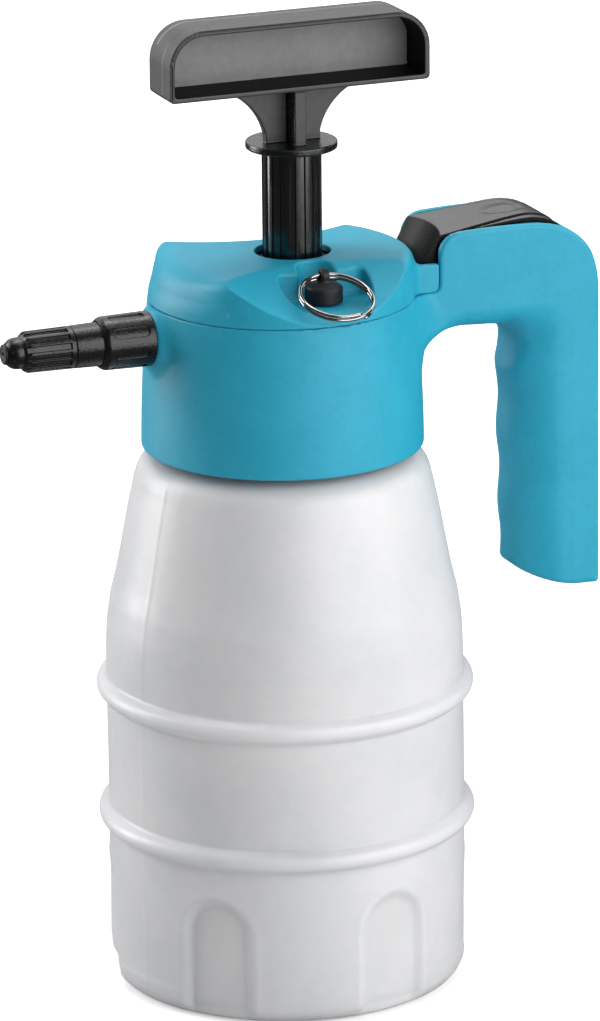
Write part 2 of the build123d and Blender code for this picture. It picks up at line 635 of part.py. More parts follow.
def pull_ring():
    """Split ring: two turns of wire through the eye, lying down over the scoop."""
    radius, pitch, tilt = 10.6, 1.04, math.radians(23.0)
    start = 150     # degrees round from the eye to the wire's start
    ring = wire_helix(pitch, 2 * pitch, radius, wire=0.5)
    # centre the pair of turns in the eye
    ring = Rot(0, 0, 90 - start) * Pos(0, 0, -pitch * (start / 360 + 0.5)) * ring
    centre = Vector(*RELIEF, EYE_Z) + Vector(0, -math.cos(tilt), -math.sin(tilt)) * radius
    normal = (0, -math.sin(tilt), math.cos(tilt))
    return Plane(origin=centre, x_dir=(1, 0, 0), z_dir=normal) * ring


# ---- one file per piece, named after its function ----
os.makedirs("parts", exist_ok=True)
for piece in (
        tank, neck_seal, head_body, top_cover,
        pump_cylinder, check_valve, pump_guide, piston, piston_seal, pump_rod, t_handle,
        valve_body, valve_plug, gland_seal, valve_stem, poppet_seal, valve_spring,
        dip_tube, dip_filter, outlet_hose,
        nozzle_pipe, pipe_seal, union_nut, nozzle_o_ring, nozzle_cap, nozzle_tip, swirl_core,
        trigger_lever, trigger_pin, trigger_spring,
        relief_retainer, relief_seal, relief_stem, relief_spring, relief_knob, pull_ring):
    export_step(piece(), f"parts/{piece.__name__}.step")
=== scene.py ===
# A hand-pumped pressure sprayer: blow-moulded tank, screwed-on head with a pistol grip, trigger,
# pump with a T-handle, adjustable nozzle and relief valve with a pull ring. The tank stands on z
# = 0 with its axis on the z axis. The nozzle points to -x, the grip stands at +x, and the relief
# valve is on the -y side, where the camera is.
import math
from functools import reduce

import bmesh
import bpy
import numpy as np
from mathutils import Matrix, Vector


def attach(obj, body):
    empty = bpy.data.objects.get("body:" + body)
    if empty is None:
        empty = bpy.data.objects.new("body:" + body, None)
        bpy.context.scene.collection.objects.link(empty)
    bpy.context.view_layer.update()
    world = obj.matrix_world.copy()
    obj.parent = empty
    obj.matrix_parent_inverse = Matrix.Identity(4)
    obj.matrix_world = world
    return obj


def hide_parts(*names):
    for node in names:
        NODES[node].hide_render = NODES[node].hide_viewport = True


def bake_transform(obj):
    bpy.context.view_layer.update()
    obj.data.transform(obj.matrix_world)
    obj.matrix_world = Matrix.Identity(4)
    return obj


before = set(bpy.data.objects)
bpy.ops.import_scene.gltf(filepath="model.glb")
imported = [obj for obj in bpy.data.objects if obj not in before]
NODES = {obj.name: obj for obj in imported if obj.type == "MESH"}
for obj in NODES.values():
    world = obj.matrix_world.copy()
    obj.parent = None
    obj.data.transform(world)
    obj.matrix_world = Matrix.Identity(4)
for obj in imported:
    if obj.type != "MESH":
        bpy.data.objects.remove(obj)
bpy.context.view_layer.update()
MM = 0.001

# Driving dimensions shared by several pieces
PART_Z = 205.7                        # joint line between head and top cover
HALF = 15.5                           # half width of the handle and the cover's ears
COLLAR_FOOT = 161.6
PUMP_X = 3.6
NOZZLE_Z = 197.3
VALVE_Z = 200.0
DIP_X = 22.2
RELIEF_X, RELIEF_Y = PUMP_X, -24.0
PIVOT_X, PIVOT_Z = 50.0, 214.0        # trigger pin
PIVOT_BORE = 1.62
HEAD_BORE = 31.75                     # sleeve that screws over the tank's neck
NECK_R = 29.0


# ---- Signed-distance fields: negative inside, in millimetres ----

def overlap(*fields):
    return reduce(np.maximum, fields)


def join(*fields):
    return reduce(np.minimum, fields)


def cut(body, hole):
    return np.maximum(body, -hole)


def between(value, low, high):
    return np.maximum(low - value, value - high)


def round_join(a, b, r):
    """Union with a circular fillet of radius r."""
    u, v = np.maximum(r - a, 0), np.maximum(r - b, 0)
    return np.maximum(r, np.minimum(a, b)) - np.sqrt(u * u + v * v)


def round_overlap(a, b, r):
    """Intersection with an edge rounding of radius r."""
    u, v = np.maximum(r + a, 0), np.maximum(r + b, 0)
    return np.minimum(-r, np.maximum(a, b)) + np.sqrt(u * u + v * v)


def round_cut(body, hole, r):
    return round_overlap(body, -hole, r)


def smoothstep(start, end, value):
    t = np.clip((value - start) / (end - start), 0, 1)
    return t * t * (3 - 2 * t)


def mix(a, b, weight):
    return a * (1 - weight) + b * weight


def hypot(a, b):
    return np.sqrt(a * a + b * b)


def sector_angle(angle, count, offset):
    """Angle from the middle of the nearest of count equal sectors."""
    sector = 2 * math.pi / count
    return ((angle + offset + 0.5 * sector) % sector) - 0.5 * sector


# ---- Outlines ----

def arc(start, middle, end, count=14):
    """Points on the circle through three points, from start (left out) to end."""
    (ax, ay), (bx, by), (cx, cy) = start, middle, end
    d = 2 * (ax * (by - cy) + bx * (cy - ay) + cx * (ay - by))
    a2, b2, c2 = ax * ax + ay * ay, bx * bx + by * by, cx * cx + cy * cy
    ux = (a2 * (by - cy) + b2 * (cy - ay) + c2 * (ay - by)) / d
    uy = (a2 * (cx - bx) + b2 * (ax - cx) + c2 * (bx - ax)) / d
    radius = math.hypot(ax - ux, ay - uy)
    first, mid, last = (math.atan2(q[1] - uy, q[0] - ux) for q in (start, middle, end))
    turn = 2 * math.pi
    sweep = (last - first) % turn
    if (mid - first) % turn > sweep:
        sweep -= turn
    angles = [first + sweep * i / count for i in range(1, count + 1)]
    return [(ux + radius * math.cos(a), uy + radius * math.sin(a)) for a in angles]


def spline(points, count=8):
    """Catmull-Rom curve through points, first point left out."""
    p = np.asarray(points, float)
    p = np.vstack([2 * p[0] - p[1], p, 2 * p[-1] - p[-2]])
    out = []
    for i in range(1, len(p) - 2):
        a, b, c, d = p[i - 1:i + 3]
        for k in range(1, count + 1):
            t = k / count
            out.append(tuple(0.5 * (2 * b + (c - a) * t + (2 * a - 5 * b + 4 * c - d) * t * t
                                    + (3 * b - a - 3 * c + d) * t ** 3)))
    return out


def outline(start, *steps):
    """Closed outline. A step is a point (straight line to it), ("arc", middle, end)
    or ("curve", point, point, ...)."""
    points = [start]
    for step in steps:
        if step[0] == "arc":
            points += arc(points[-1], step[1], step[2])
        elif step[0] == "curve":
            points += spline([points[-1], *step[1:]])
        else:
            points.append(step)
    return np.array(points)


class OutlineField:
    """Signed distance to a closed outline, kept on a fine grid and read back with cubics."""

    def __init__(self, points, step=0.4, pad=5.0):
        points = np.asarray(points, float)
        points = points[np.linalg.norm(points - np.roll(points, 1, 0), axis=1) > 1e-6]
        self.step = step
        self.low = points.min(0) - pad
        self.size = np.ceil((points.max(0) + pad - self.low) / step).astype(int) + 1
        gx, gy = np.meshgrid(self.low[0] + step * np.arange(self.size[0]),
                             self.low[1] + step * np.arange(self.size[1]), indexing="ij")
        nearest = np.full(gx.shape, 1e12)
        inside = np.zeros(gx.shape, bool)
        for a, b in zip(points, np.roll(points, -1, 0)):
            edge = b - a
            wx, wy = gx - a[0], gy - a[1]
            t = np.clip((wx * edge[0] + wy * edge[1]) / (edge @ edge), 0, 1)
            nearest = np.minimum(nearest, (wx - edge[0] * t) ** 2 + (wy - edge[1] * t) ** 2)
            if a[1] != b[1]:
                crosses = (a[1] > gy) != (b[1] > gy)
                inside ^= crosses & (gx < a[0] + (gy - a[1]) * edge[0] / edge[1])
        distance = np.sqrt(nearest)
        self.grid = np.where(inside, -distance, distance)

    @staticmethod
    def cubic_weights(x):
        return (-0.5 * x + x * x - 0.5 * x ** 3, 1 - 2.5 * x * x + 1.5 * x ** 3,
                0.5 * x + 2 * x * x - 1.5 * x ** 3, -0.5 * x * x + 0.5 * x ** 3)

    def __call__(self, u, v):
        u, v = np.broadcast_arrays(u, v)
        s, t = (u - self.low[0]) / self.step, (v - self.low[1]) / self.step
        s_in = np.clip(s, 1, self.size[0] - 2.001)
        t_in = np.clip(t, 1, self.size[1] - 2.001)
        i, j = np.floor(s_in).astype(np.int32), np.floor(t_in).astype(np.int32)
        s_weights, t_weights = self.cubic_weights(s_in - i), self.cubic_weights(t_in - j)
        out = 0.0
        for a in range(4):
            row = 0.0
            for b in range(4):
                row = row + t_weights[b] * self.grid[i + a - 1, j + b - 1]
            out = out + s_weights[a] * row
        return out + hypot(s - s_in, t - t_in) * self.step


# ---- Meshing ----

def gradient(field, points, reach=0.03):
    out = np.empty_like(points)
    for k in range(3):
        before, after = points.copy(), points.copy()
        before[:, k] -= reach
        after[:, k] += reach
        out[:, k] = (field(*after.T) - field(*before.T)) / (2 * reach)
    return out


def pull(field, points, step, times=1):
    """Moves points along the gradient on to the zero surface."""
    for _ in range(times):
        value = field(*points.T)
        g = gradient(field, points)
        move = value[:, None] * g / np.maximum((g * g).sum(1), 0.25)[:, None]
        length = np.linalg.norm(move, axis=1)
        move *= np.minimum(1, 0.6 * step / np.maximum(length, 1e-9))[:, None]
        points = points - move
    return points


def sample(field, low, high, step):
    """Field values on a grid, exact near the surface and coarse block values elsewhere."""
    block = 6
    blocks = np.ceil((high - low) / step / block).astype(int)
    size = blocks * block + 1
    centres = [low[i] + (np.arange(blocks[i]) + 0.5) * block * step for i in range(3)]
    cx, cy, cz = np.meshgrid(*centres, indexing="ij")
    coarse = field(cx.ravel(), cy.ravel(), cz.ravel()).reshape(cx.shape)
    # half a block's diagonal, with a margin
    near = np.abs(coarse) < 0.5 * block * step * 1.7321 * 1.3 + 0.6
    values = coarse
    for axis in range(3):
        values = np.repeat(values, block, axis=axis)
    values = np.pad(values, ((0, 1),) * 3, mode="edge")
    mask = np.zeros(size, bool)
    for i, j, k in np.argwhere(near) * block:
        mask[i:i + block + 1, j:j + block + 1, k:k + block + 1] = True
    points = low + np.argwhere(mask) * step
    values[mask] = field(*points.T)
    return values


def surface_net(field, low, high, step):
    """Meshes the zero surface inside a box: one vertex in each cell it crosses, then relaxed
    and pulled on to the surface. Gives points, quads and normals."""
    low, high = np.array(low, float), np.array(high, float)
    values = sample(field, low, high, step)
    size = values.shape
    solid = values < 0
    corners = [(a, b, c) for a in (0, 1) for b in (0, 1) for c in (0, 1)]
    count = np.zeros(np.array(size) - 1, np.int8)
    for a, b, c in corners:
        count += solid[a:size[0] - 1 + a, b:size[1] - 1 + b, c:size[2] - 1 + c]
    mixed = (count > 0) & (count < 8)
    cells = np.argwhere(mixed)
    ids = -np.ones(mixed.shape, np.int64)
    ids[mixed] = np.arange(len(cells))

    # each vertex starts at the mean of its cell's edge crossings
    total, number = np.zeros((len(cells), 3)), np.zeros(len(cells))
    at_corner = {q: values[cells[:, 0] + q[0], cells[:, 1] + q[1], cells[:, 2] + q[2]]
                 for q in corners}
    for corner in corners:
        for axis in range(3):
            if corner[axis]:
                continue
            other = tuple(corner[k] + (k == axis) for k in range(3))
            va, vb = at_corner[corner], at_corner[other]
            crossed = (va < 0) != (vb < 0)
            crossing = np.tile(np.array(corner, float), (crossed.sum(), 1))
            crossing[:, axis] += va[crossed] / (va[crossed] - vb[crossed])
            total[crossed] += crossing
            number[crossed] += 1
    points = low + (cells + total / number[:, None]) * step

    # one quad for each crossed grid edge
    quads = []
    for axis in range(3):
        side_a, side_b = (axis + 1) % 3, (axis + 2) % 3
        first, second = [slice(1, -1)] * 3, [slice(1, -1)] * 3
        first[axis], second[axis] = slice(0, -1), slice(1, None)
        start, end = solid[tuple(first)], solid[tuple(second)]
        for flip, chosen in ((False, start & ~end), (True, ~start & end)):
            base = np.argwhere(chosen)
            if not len(base):
                continue
            base[:, side_a] += 1
            base[:, side_b] += 1
            ring = []
            for da, db in ((-1, -1), (0, -1), (0, 0), (-1, 0)):
                cell = base.copy()
                cell[:, side_a] += da
                cell[:, side_b] += db
                ring.append(ids[cell[:, 0], cell[:, 1], cell[:, 2]])
            ring = np.stack(ring, 1)
            quads.append(ring[:, ::-1] if flip else ring)
    quads = np.vstack(quads)
    quads = quads[(quads >= 0).all(1)]

    points = pull(field, points, step, 2)
    for _ in range(2):
        total, weight = np.zeros_like(points), np.zeros(len(points))
        for a in range(4):
            i, j = quads[:, a], quads[:, (a + 1) % 4]
            for k in range(3):
                total[:, k] += (np.bincount(i, points[j, k], len(points))
                                + np.bincount(j, points[i, k], len(points)))
            weight += (np.bincount(i, minlength=len(points))
                       + np.bincount(j, minlength=len(points)))
        points = pull(field, mix(points, total / np.maximum(weight, 1)[:, None], 0.45), step)
    points = pull(field, points, step)
    g = gradient(field, points, 0.08)
    return points, quads, g / np.maximum(np.linalg.norm(g, axis=1), 1e-9)[:, None]


def add_mesh(name, points, faces, body, replaced, materials, normals=None):
    """A smooth mesh from millimetre points, riding on a body and standing for a CAD node."""
    mesh = bpy.data.meshes.new(name)
    points = np.asarray(points, float) * MM
    if isinstance(faces, np.ndarray):
        mesh.vertices.add(len(points))
        mesh.vertices.foreach_set("co", points.astype(np.float32).ravel())
        mesh.loops.add(faces.size)
        mesh.loops.foreach_set("vertex_index", faces.astype(np.int32).ravel())
        mesh.polygons.add(len(faces))
        starts = np.arange(0, faces.size, faces.shape[1], dtype=np.int32)
        mesh.polygons.foreach_set("loop_start", starts)
        mesh.update(calc_edges=True)
    else:
        mesh.from_pydata([tuple(p) for p in points], [], [tuple(map(int, q)) for q in faces])
    mesh.validate(verbose=False)
    mesh.polygons.foreach_set("use_smooth", np.ones(len(mesh.polygons), bool))
    if normals is not None:
        mesh.normals_split_custom_set_from_vertices([tuple(v) for v in normals])
    ob = bpy.data.objects.new(name, mesh)
    bpy.context.scene.collection.objects.link(ob)
    for mat in materials:
        mesh.materials.append(mat)
    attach(ob, body)
    if replaced:
        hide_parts(replaced)
    return ob


def mould(name, field, low, high, step, body, replaced, materials):
    """Meshes a field and adds it. Gives the object, its points and its quads."""
    points, quads, normals = surface_net(field, low, high, step)
    return add_mesh(name, points, quads, body, replaced, materials, normals), points, quads


def lathe(profile, segments, along_x=False, origin=(0, 0, 0), reshape=None):
    """Closed solid of revolution from a closed (radius, height) profile. Points on the axis are
    shared. reshape(angle, radius, height) may alter the radius."""
    profile = np.asarray(profile, float)
    rows = len(profile)
    radius = np.repeat(profile[:, :1], segments, 1)
    height = np.repeat(profile[:, 1:], segments, 1)
    angle = np.repeat(np.linspace(0, 2 * np.pi, segments, endpoint=False)[None, :], rows, 0)
    if reshape is not None:
        radius = reshape(angle, radius, height)
    px, py = radius * np.cos(angle), radius * np.sin(angle)
    on_axis = profile[:, 0] < 1e-6
    ids = np.zeros((rows, segments), int)
    points = []
    for i in range(rows):
        if on_axis[i]:
            ids[i, :] = len(points)
            points.append((0.0, 0.0, profile[i, 1]))
        else:
            ids[i, :] = len(points) + np.arange(segments)
            points += list(zip(px[i], py[i], height[i]))
    faces = []
    for i in range(rows):
        k = (i + 1) % rows
        if on_axis[i] and on_axis[k]:
            continue
        for j in range(segments):
            j2 = (j + 1) % segments
            face = list(dict.fromkeys([ids[i, j], ids[i, j2], ids[k, j2], ids[k, j]]))
            if len(face) > 2:
                faces.append(face)
    points = np.array(points)
    if along_x:      # height runs along +x, angle 0 points up
        points = np.stack([points[:, 2], -points[:, 1], points[:, 0]], 1)
    return points + np.array(origin, float), faces


def round_profile(rows, count=4):
    """Rounds a closed profile. Rows: radius, height, rounding of that corner."""
    out = []
    for i, (*corner, rounding) in enumerate(rows):
        if rounding <= 0:
            out.append(tuple(corner))
            continue
        a, b, c = (np.array(rows[(i + k) % len(rows)][:2], float) for k in (-1, 0, 1))
        len_a, len_c = np.linalg.norm(a - b), np.linalg.norm(c - b)
        to_a, to_c = (a - b) / len_a, (c - b) / len_c
        angle = math.acos(max(-1, min(1, float(to_a @ to_c))))
        trim = min(rounding / math.tan(angle / 2), 0.49 * len_a, 0.49 * len_c)
        radius = trim * math.tan(angle / 2)
        bisector = (to_a + to_c) / np.linalg.norm(to_a + to_c)
        centre = b + bisector * (radius / math.sin(angle / 2))
        first, last = (math.atan2(*(b + way * trim - centre)[::-1]) for way in (to_a, to_c))
        sweep = (last - first + math.pi) % (2 * math.pi) - math.pi
        for k in range(count + 1):
            turn = first + sweep * k / count
            out.append((centre[0] + radius * math.cos(turn), centre[1] + radius * math.sin(turn)))
    return out


def sharpen(ob, degrees):
    """Keeps edges above an angle crisp and everything else smooth."""
    bm = bmesh.new()
    bm.from_mesh(ob.data)
    bmesh.ops.remove_doubles(bm, verts=bm.verts, dist=1e-7)
    bmesh.ops.recalc_face_normals(bm, faces=bm.faces)
    limit = math.radians(degrees)
    for edge in bm.edges:
        edge.smooth = not (len(edge.link_faces) == 2 and edge.calc_face_angle(0) > limit)
    for face in bm.faces:
        face.smooth = True
    bm.to_mesh(ob.data)
    bm.free()
    ob.data.update()


# ---- Shader helpers ----

def srgb(*levels):
    """Linear colour from 0-255 display levels."""
    return tuple(c / 255 / 12.92 if c / 255 <= 0.04045 else ((c / 255 + 0.055) / 1.055) ** 2.4
                 for c in levels)


def new_material(name, base, rough, spec=0.5):
    mat = bpy.data.materials.new(name)
    mat.use_nodes = True
    shader = mat.node_tree.nodes["Principled BSDF"]
    shader.inputs["Base Color"].default_value = (*base, 1)
    shader.inputs["Roughness"].default_value = rough
    shader.inputs["Specular IOR Level"].default_value = spec
    mat.diffuse_color = (*base, 1)
    return mat, mat.node_tree, shader


def add_node(tree, kind, **inputs):
    new = tree.nodes.new(kind)
    for key, value in inputs.items():
        new.inputs[key].default_value = value
    return new


def object_coords(tree):
    return tree.nodes.new("ShaderNodeTexCoord").outputs["Object"]


def noise(tree, coords, scale, detail, rough):
    tex = add_node(tree, "ShaderNodeTexNoise", Scale=scale, Detail=detail, Roughness=rough)
    tree.links.new(coords, tex.inputs["Vector"])
    return tex.outputs["Fac"]


def ramp(tree, factor, *stops):
    """Colour ramp with two stops, each (position, colour)."""
    new = tree.nodes.new("ShaderNodeValToRGB")
    for element, (position, color) in zip(new.color_ramp.elements, stops):
        element.position = position
        element.color = (*color, 1)
    tree.links.new(factor, new.inputs["Fac"])
    return new.outputs["Color"]


def remap(tree, value, source, result):
    """Maps the source range on to the result range."""
    new = tree.nodes.new("ShaderNodeMapRange")
    for key, number in zip(("From Min", "From Max", "To Min", "To Max"), (*source, *result)):
        new.inputs[key].default_value = number
    tree.links.new(value, new.inputs["Value"])
    return new.outputs["Result"]


def calc(tree, a, b, operation="MULTIPLY"):
    new = tree.nodes.new("ShaderNodeMath")
    new.operation = operation
    for i, value in enumerate((a, b)):
        if isinstance(value, (int, float)):
            new.inputs[i].default_value = value
        else:
            tree.links.new(value, new.inputs[i])
    return new.outputs[0]


def blend_noise(tree, a, a_share, b, b_share):
    return calc(tree, calc(tree, a, a_share), calc(tree, b, b_share), "ADD")


def bump(tree, shader, height, strength, distance, below=None):
    new = add_node(tree, "ShaderNodeBump", Strength=strength, Distance=distance)
    tree.links.new(height, new.inputs["Height"])
    if below is not None:
        tree.links.new(below, new.inputs["Normal"])
    tree.links.new(new.outputs["Normal"], shader.inputs["Normal"])
    return new.outputs["Normal"]


# ---- Materials ----

def moulded(name, dark, light, rough, grain, depth, strength, wear_and_edge_light=None, spec=0.5):
    """Injection-moulded plastic: grained skin, faint colour drift, edges rubbed smoother.
    dark, light: display levels; rough: range; grain: noise scale; depth (m) and strength: bump;
    wear_and_edge_light: amount and display levels of the edge colour; pale edges are partly
    rubbed wear and partly painted highlight, dark ones are painted shade lines."""
    mat, tree, shader = new_material(name, srgb(*light), sum(rough) / 2, spec)
    coords = object_coords(tree)
    big = noise(tree, coords, scale=40, detail=4.0, rough=0.6)
    fine = noise(tree, coords, scale=grain, detail=2.0, rough=0.6)
    mid = noise(tree, coords, scale=grain * 0.28, detail=3.0, rough=0.6)
    drift = blend_noise(tree, big, 0.65, mid, 0.35)
    color = ramp(tree, drift, (0.36, srgb(*dark)), (0.64, srgb(*light)))
    geometry = tree.nodes.new("ShaderNodeNewGeometry")
    edges = remap(tree, geometry.outputs["Pointiness"], (0.52, 0.62), (0, 1))
    # convex edges take the edge colour: partly rubbed wear, partly painted highlight, or painted
    # shade where it is dark
    if wear_and_edge_light:
        amount, tint = wear_and_edge_light
        mixer = tree.nodes.new("ShaderNodeMix")
        mixer.data_type = "RGBA"
        tree.links.new(calc(tree, edges, amount), mixer.inputs["Factor"])
        tree.links.new(color, mixer.inputs[6])
        mixer.inputs[7].default_value = (*srgb(*tint), 1)
        color = mixer.outputs[2]
    tree.links.new(color, shader.inputs["Base Color"])
    uneven = remap(tree, blend_noise(tree, big, 0.4, fine, 0.6), (0.35, 0.65), rough)
    rubbed = calc(tree, uneven, calc(tree, edges, -0.08), "ADD")
    tree.links.new(rubbed, shader.inputs["Roughness"])
    bump(tree, shader, blend_noise(tree, fine, 0.6, mid, 0.4), strength, depth)
    return mat


# the pale edge colours below are partly rubbed wear and partly painted edge highlight
BLUE = moulded(
    "blue_moulded", dark=(26, 154, 183), light=(40, 164, 193), rough=(0.45, 0.57), grain=1500,
    depth=0.00008, strength=0.65, wear_and_edge_light=(0.22, (110, 200, 220)), spec=0.40)
BLACK_GRAIN = moulded(
    "black_grained", dark=(8, 8, 9), light=(14, 14, 15), rough=(0.22, 0.34), grain=1300,
    depth=0.00014, strength=0.9, wear_and_edge_light=(0.35, (78, 78, 80)))
# the handle's edges are painted near-black: painted shade lines along its edges
HANDLE_GREY = moulded(
    "black_grained_handle", dark=(50, 50, 51), light=(66, 66, 67), rough=(0.38, 0.50),
    grain=2000, depth=0.00007, strength=0.7, wear_and_edge_light=(0.8, (10, 10, 11)))
# lighter grey for the recess floor: its rough grain is real, the grey is painted reflection of
# the key light
RECESS_FLOOR_LIT = moulded(
    "recess_floor_painted_light", dark=(116, 116, 117), light=(132, 132, 133), rough=(0.55, 0.68),
    grain=1500, depth=0.00008, strength=0.8, spec=0.4)
# near-black for the recess walls: painted shade inside the recess
RECESS_WALL_SHADE = moulded(
    "recess_wall_painted_shade", dark=(5, 5, 6), light=(9, 9, 10), rough=(0.50, 0.62), grain=1500,
    depth=0.00010, strength=0.8, wear_and_edge_light=(0.25, (60, 60, 62)), spec=0.14)
BLACK_TRIGGER = moulded(
    "black_trigger", dark=(14, 14, 15), light=(22, 22, 23), rough=(0.24, 0.34), grain=2400,
    depth=0.00004, strength=0.4, wear_and_edge_light=(0.3, (80, 80, 82)))


def paint_top_sheen(mat):
    """Painted sheen: the specular level follows the world normal, so faces that look up shine and
    the others stay matt.
    """
    tree = mat.node_tree
    geometry = tree.nodes.new("ShaderNodeNewGeometry")
    split = tree.nodes.new("ShaderNodeSeparateXYZ")
    tree.links.new(geometry.outputs["Normal"], split.inputs[0])
    sheen = remap(tree, split.outputs["Z"], (0.60, 0.94), (0.07, 0.5))
    tree.links.new(sheen, tree.nodes["Principled BSDF"].inputs["Specular IOR Level"])


# the trigger's top gets a painted sheen, its -x face stays dark
paint_top_sheen(BLACK_TRIGGER)
BLACK_GLOSS = moulded(
    "black_polished", dark=(10, 10, 11), light=(16, 16, 17), rough=(0.10, 0.17), grain=900,
    depth=0.00002, strength=0.08, wear_and_edge_light=(0.2, (60, 60, 62)), spec=0.95)
RUBBER = moulded(
    "black_rubber", dark=(10, 10, 11), light=(18, 18, 19), rough=(0.48, 0.62), grain=1600,
    depth=0.00005, strength=0.45, wear_and_edge_light=(0.3, (70, 70, 72)), spec=0.45)
WHITE_INNER = moulded(
    "natural_polymer", dark=(205, 205, 198), light=(222, 222, 216), rough=(0.38, 0.5),
    grain=1500, depth=0.00003, strength=0.25)


def metal(name, base, rough, scratch=0.3):
    mat, tree, shader = new_material(name, base, rough)
    shader.inputs["Metallic"].default_value = 1.0
    coords = object_coords(tree)
    fine = noise(tree, coords, scale=900, detail=4, rough=0.65)
    broad = noise(tree, coords, scale=120, detail=3, rough=0.6)
    uneven = remap(tree, fine, (0.3, 0.7), (rough * 0.7, rough * 1.5))
    tree.links.new(uneven, shader.inputs["Roughness"])
    color = ramp(tree, broad, (0.3, tuple(c * 0.82 for c in base)), (0.7, base))
    tree.links.new(color, shader.inputs["Base Color"])
    bump(tree, shader, fine, strength=scratch, distance=0.00001)
    return mat


STEEL = metal("drawn_steel", base=(0.62, 0.61, 0.60), rough=0.28)
RING = metal("polished_steel", base=(0.42, 0.41, 0.40), rough=0.07, scratch=0.10)
BRASS = metal("turned_brass", base=(0.72, 0.52, 0.24), rough=0.25)


def hdpe():
    """Blow-moulded polyethylene: milky, slightly translucent, satin with shallow ripples."""
    mat, tree, shader = new_material("natural_hdpe", srgb(222, 223, 225), rough=0.36, spec=0.45)
    coords = object_coords(tree)
    big = noise(tree, coords, scale=22, detail=3.0, rough=0.5)
    mid = noise(tree, coords, scale=260, detail=3.0, rough=0.55)
    fine = noise(tree, coords, scale=2600, detail=2.0, rough=0.6)
    color = ramp(tree, blend_noise(tree, big, 0.8, mid, 0.2),
                 (0.35, srgb(213, 214, 217)), (0.65, srgb(226, 226, 228)))
    tree.links.new(color, shader.inputs["Base Color"])
    shader.inputs["Subsurface Weight"].default_value = 0.35
    shader.inputs["Subsurface Radius"].default_value = (0.006, 0.006, 0.0065)
    shader.inputs["Subsurface Scale"].default_value = 1.0
    uneven = remap(tree, blend_noise(tree, mid, 0.5, fine, 0.5), (0.35, 0.65), (0.30, 0.42))
    tree.links.new(uneven, shader.inputs["Roughness"])
    ripples = bump(tree, shader, mid, strength=0.10, distance=0.0002)
    bump(tree, shader, fine, strength=0.25, distance=0.00003, below=ripples)
    return mat


def hose():
    mat, tree, shader = new_material("clear_hose", srgb(196, 200, 198), rough=0.25, spec=0.5)
    cloud = noise(tree, object_coords(tree), scale=300, detail=3, rough=0.6)
    color = ramp(tree, cloud, (0.3, srgb(180, 186, 182)), (0.7, srgb(208, 211, 208)))
    tree.links.new(color, shader.inputs["Base Color"])
    uneven = remap(tree, cloud, (0.3, 0.7), (0.2, 0.34))
    tree.links.new(uneven, shader.inputs["Roughness"])
    bump(tree, shader, cloud, strength=0.15, distance=0.00004)
    return mat


HDPE = hdpe()
HOSE = hose()

# material, CAD nodes made of it
NODE_MATERIALS = (
    (HDPE, "tank"),
    (BLUE, "head_body top_cover"),
    (BLACK_GRAIN, "pump_guide nozzle_pipe nozzle_tip t_handle union_nut nozzle_cap"),
    (BLACK_GLOSS, "pump_rod"),
    (BLACK_TRIGGER, "trigger_lever"),
    (WHITE_INNER, "pump_cylinder piston valve_body valve_plug dip_tube dip_filter swirl_core "
                  "relief_retainer relief_stem"),
    (RUBBER, "neck_seal check_valve piston_seal gland_seal poppet_seal pipe_seal "
             "nozzle_o_ring relief_seal relief_knob"),
    (STEEL, "valve_spring trigger_pin trigger_spring relief_spring"),
    (BRASS, "valve_stem"),
    (RING, "pull_ring"),
    (HOSE, "outlet_hose"),
)
for mat, names in NODE_MATERIALS:
    for name in names.split():
        mesh = NODES[name].data
        mesh.materials.clear()
        mesh.materials.append(mat)
        for polygon in mesh.polygons:
            polygon.material_index = 0


# ---- Springs: each wire copied from its CAD node and baked in place ----
# CAD node, body at the start, body at the end, start and end seats in metres
SPRINGS = (
    ("valve_spring", "head", "valve_stem", (0.0212, 0, 0.2), (0.0248, 0, 0.2)),
    ("trigger_spring", "head", "trigger", (0.063, 0, 0.1968), (0.063, 0, 0.2226)),
    ("relief_spring", "relief", "head", (0.0036, -0.024, 0.1868), (0.0036, -0.024, 0.2017)),
)
for name, low_body, high_body, start, end in SPRINGS:
    wire = bpy.data.objects.new(name + "_wire", NODES[name].data.copy())
    bpy.context.scene.collection.objects.link(wire)
    wire.matrix_world = NODES[name].matrix_world.copy()
    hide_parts(name)
    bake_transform(wire)


# ---- Tank: wall with two hoop beads, arched foot panels, shoulder, neck, mould ridges ----
PANELS, PANEL_START = 6, -75.0        # arched panels round the foot, first one's angle
PANEL_HALF, PANEL_TOP = 10.6, 36.8
PANEL_DEPTH = 1.75
RIDGES = (-164.0, 16.0)               # angles of the parting ridges

# Outer wall as (radius, z), from the floor's middle out and up to the neck
FLOOR_RIM = [(0.0, 3.2), (30.0, 3.2), (36.0, 3.0), (39.0, 1.6), (41.6, 0.25), (43.6, 0.0),
             (46.6, 0.0), (48.4, 0.12)]
LOWER_WALL = [(50.0, 0.55), (51.3, 1.9), (52.1, 3.6), (52.45, 5.6), (52.55, 9.0),
              (52.55, 30.0), (52.5, 44.0)]
MID_WALL = [(52.45, 62.0), (52.45, 78.0)]
SHOULDER = [(52.4, 100.0), (52.25, 104.0), (51.95, 109.0), (51.35, 113.3), (50.8, 117.0),
            (49.9, 120.6), (49.0, 124.3), (47.55, 131.6), (45.5, 142.5), (43.95, 149.8),
            (43.1, 153.3), (42.35, 155.4), (41.0, 157.2), (39.0, 158.5), (36.0, 159.4),
            (33.0, 159.9), (30.2, 160.3), (29.3, 161.0), (NECK_R, 162.4)]
